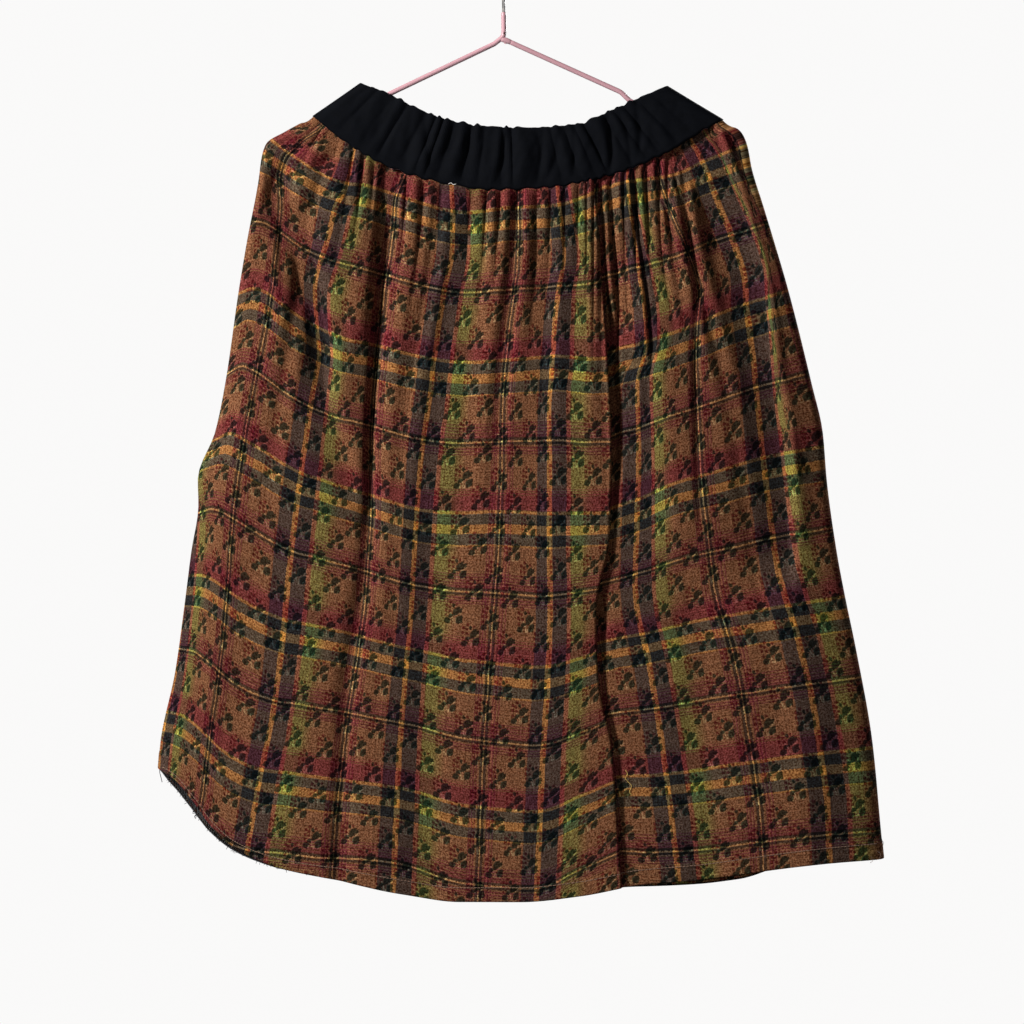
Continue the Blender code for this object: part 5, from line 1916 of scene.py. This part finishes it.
@dataclass
class Studio:
    """Pale floor, soft lights and the camera."""

    view_width: float = 0.942
    centre: tuple[float, float, float] = (8.3 * MM, -12.0 * MM, -524.1 * MM)
    distance: float = 4.3
    sensor: float = 36.0
    floor_z: float = -2.3
    pale: float = 0.955
    dim: float = 0.08
    patch: tuple[float, float] = (0.93, 0.98)
    floor_rings: tuple[float, ...] = (0.02, 1.0, 3.0, 6.0, 9.0)
    floor_sides: int = 96
    lamps: Table = (
        # name, place, size in metres, power in watts, warmth
        ("key", (-2.55, -1.85, 1.2), 0.6, 230.0, (1.0, 0.985, 0.96)),
        ("fill", (1.2, -3.2, -0.4), 2.0, 4.0, (0.93, 0.96, 1.0)),
        ("back light", (1.6, 2.4, 0.6), 1.4, 100.0, (1.0, 1.0, 1.0)),
    )

    @staticmethod
    def put_up(name: str, data: Any, place: Any, turn: Any) -> bpy.types.Object:
        """Link a camera or a lamp at its place, turned its way."""
        item = bpy.data.objects.new(name, data)
        item.location = place
        item.rotation_euler = turn
        bpy.context.collection.objects.link(item)
        return item

    def place_camera(self) -> None:
        """Set the camera square to the skirt's front at the photograph's scale."""
        lens = bpy.data.cameras.new("camera")
        lens.sensor_width = self.sensor
        lens.lens = self.sensor * self.distance / self.view_width
        lens.clip_end = 100.0
        place = Vector(self.centre) - Vector((0.0, self.distance, 0.0))
        bpy.context.scene.camera = self.put_up("camera", lens, place, (math.radians(90.0), 0.0, 0.0))

    def place_lamps(self) -> None:
        """Hang the soft lamps, each aimed at the middle of the skirt."""
        for name, place, size, power, warmth in self.lamps:
            lamp = bpy.data.lights.new(name, "AREA")
            lamp.shape = "DISK"
            lamp.size = size
            lamp.energy = power
            lamp.color = warmth
            aim = Vector(self.centre) - Vector(place)
            self.put_up(name, lamp, place, aim.to_track_quat("-Z", "Y").to_euler())

    def build_floor(self, paper: bpy.types.Material) -> None:
        """Lay a round floor far below the hem: rings of growing radius about the upright axis.

        It glows a little to look pale from above, and throws none of that on the skirt.

        Args:
            paper: the backdrop's material.
        """
        reach = np.array(self.floor_rings)[:, None]
        around = np.linspace(0.0, TURN, self.floor_sides, endpoint=False)
        points = np.stack(np.broadcast_arrays(reach * np.cos(around), reach * np.sin(around), self.floor_z),
                          axis=-1)
        index = np.arange(len(self.floor_rings) * self.floor_sides).reshape(-1, self.floor_sides)
        ring = np.concatenate((index, index[:, :1]), axis=1)
        floor = build_object("studio_floor", points, grid_quads(ring)[:, ::-1])
        floor.data.materials.append(paper)
        floor.visible_diffuse = False

    def light_world(self) -> None:
        """Give the world a dim light with a bright patch straight behind and before the skirt.

        Where it is looked at directly it is as pale as that patch on every side.
        """
        world = bpy.data.worlds.new("pale")
        world.use_nodes = True
        bench = Bench(world.node_tree, "Background")
        _, y, _ = bench.parts(bench.node("TexCoord").outputs["Generated"])
        spread = y.abs().ramp(*self.patch, self.dim, self.pale)
        seen = bench.signal(bench.node("LightPath"), "Is Camera Ray") * self.pale
        bench.surface(Color=(1.0, 0.995, 0.99), Strength=seen.most(spread))
        bpy.context.scene.world = world
        bpy.context.scene.view_settings.view_transform = "Standard"

    def build(self, paper: bpy.types.Material) -> None:
        """Set up the camera, the light and the stage."""
        self.place_camera()
        self.place_lamps()
        self.build_floor(paper)
        self.light_world()


def main() -> None:
    """Build every piece in order."""
    logging.basicConfig(level=logging.INFO, format="%(name)s: %(message)s")
    Studio().build(StudioPaper().build())
    cloth = PlaidCloth().build()
    jersey = BlackJersey().build()
    panels = (
        Panel(Side.FRONT, 33, 1, FRONT_STATIONS, FRONT_DEPTH, FRONT_FOLDS, FRONT_CREASES, FRONT_HEM),
        Panel(Side.BACK, 28, 4, BACK_STATIONS, BACK_DEPTH, BACK_FOLDS, BACK_CREASES, BACK_HEM),
    )
    threads = {tone: SewingThread(tone + " thread", ground).build() for tone, ground in THREADS}
    for panel, seed in zip(panels, (2, 5)):
        panel.build(cloth)
        Waistband(panel, seed).build(jersey)
        Sewing(panel).build(threads)
    Hanger().build(PinkCoating().build(), BareSteel().build())


if __name__ == "__main__":
    main()
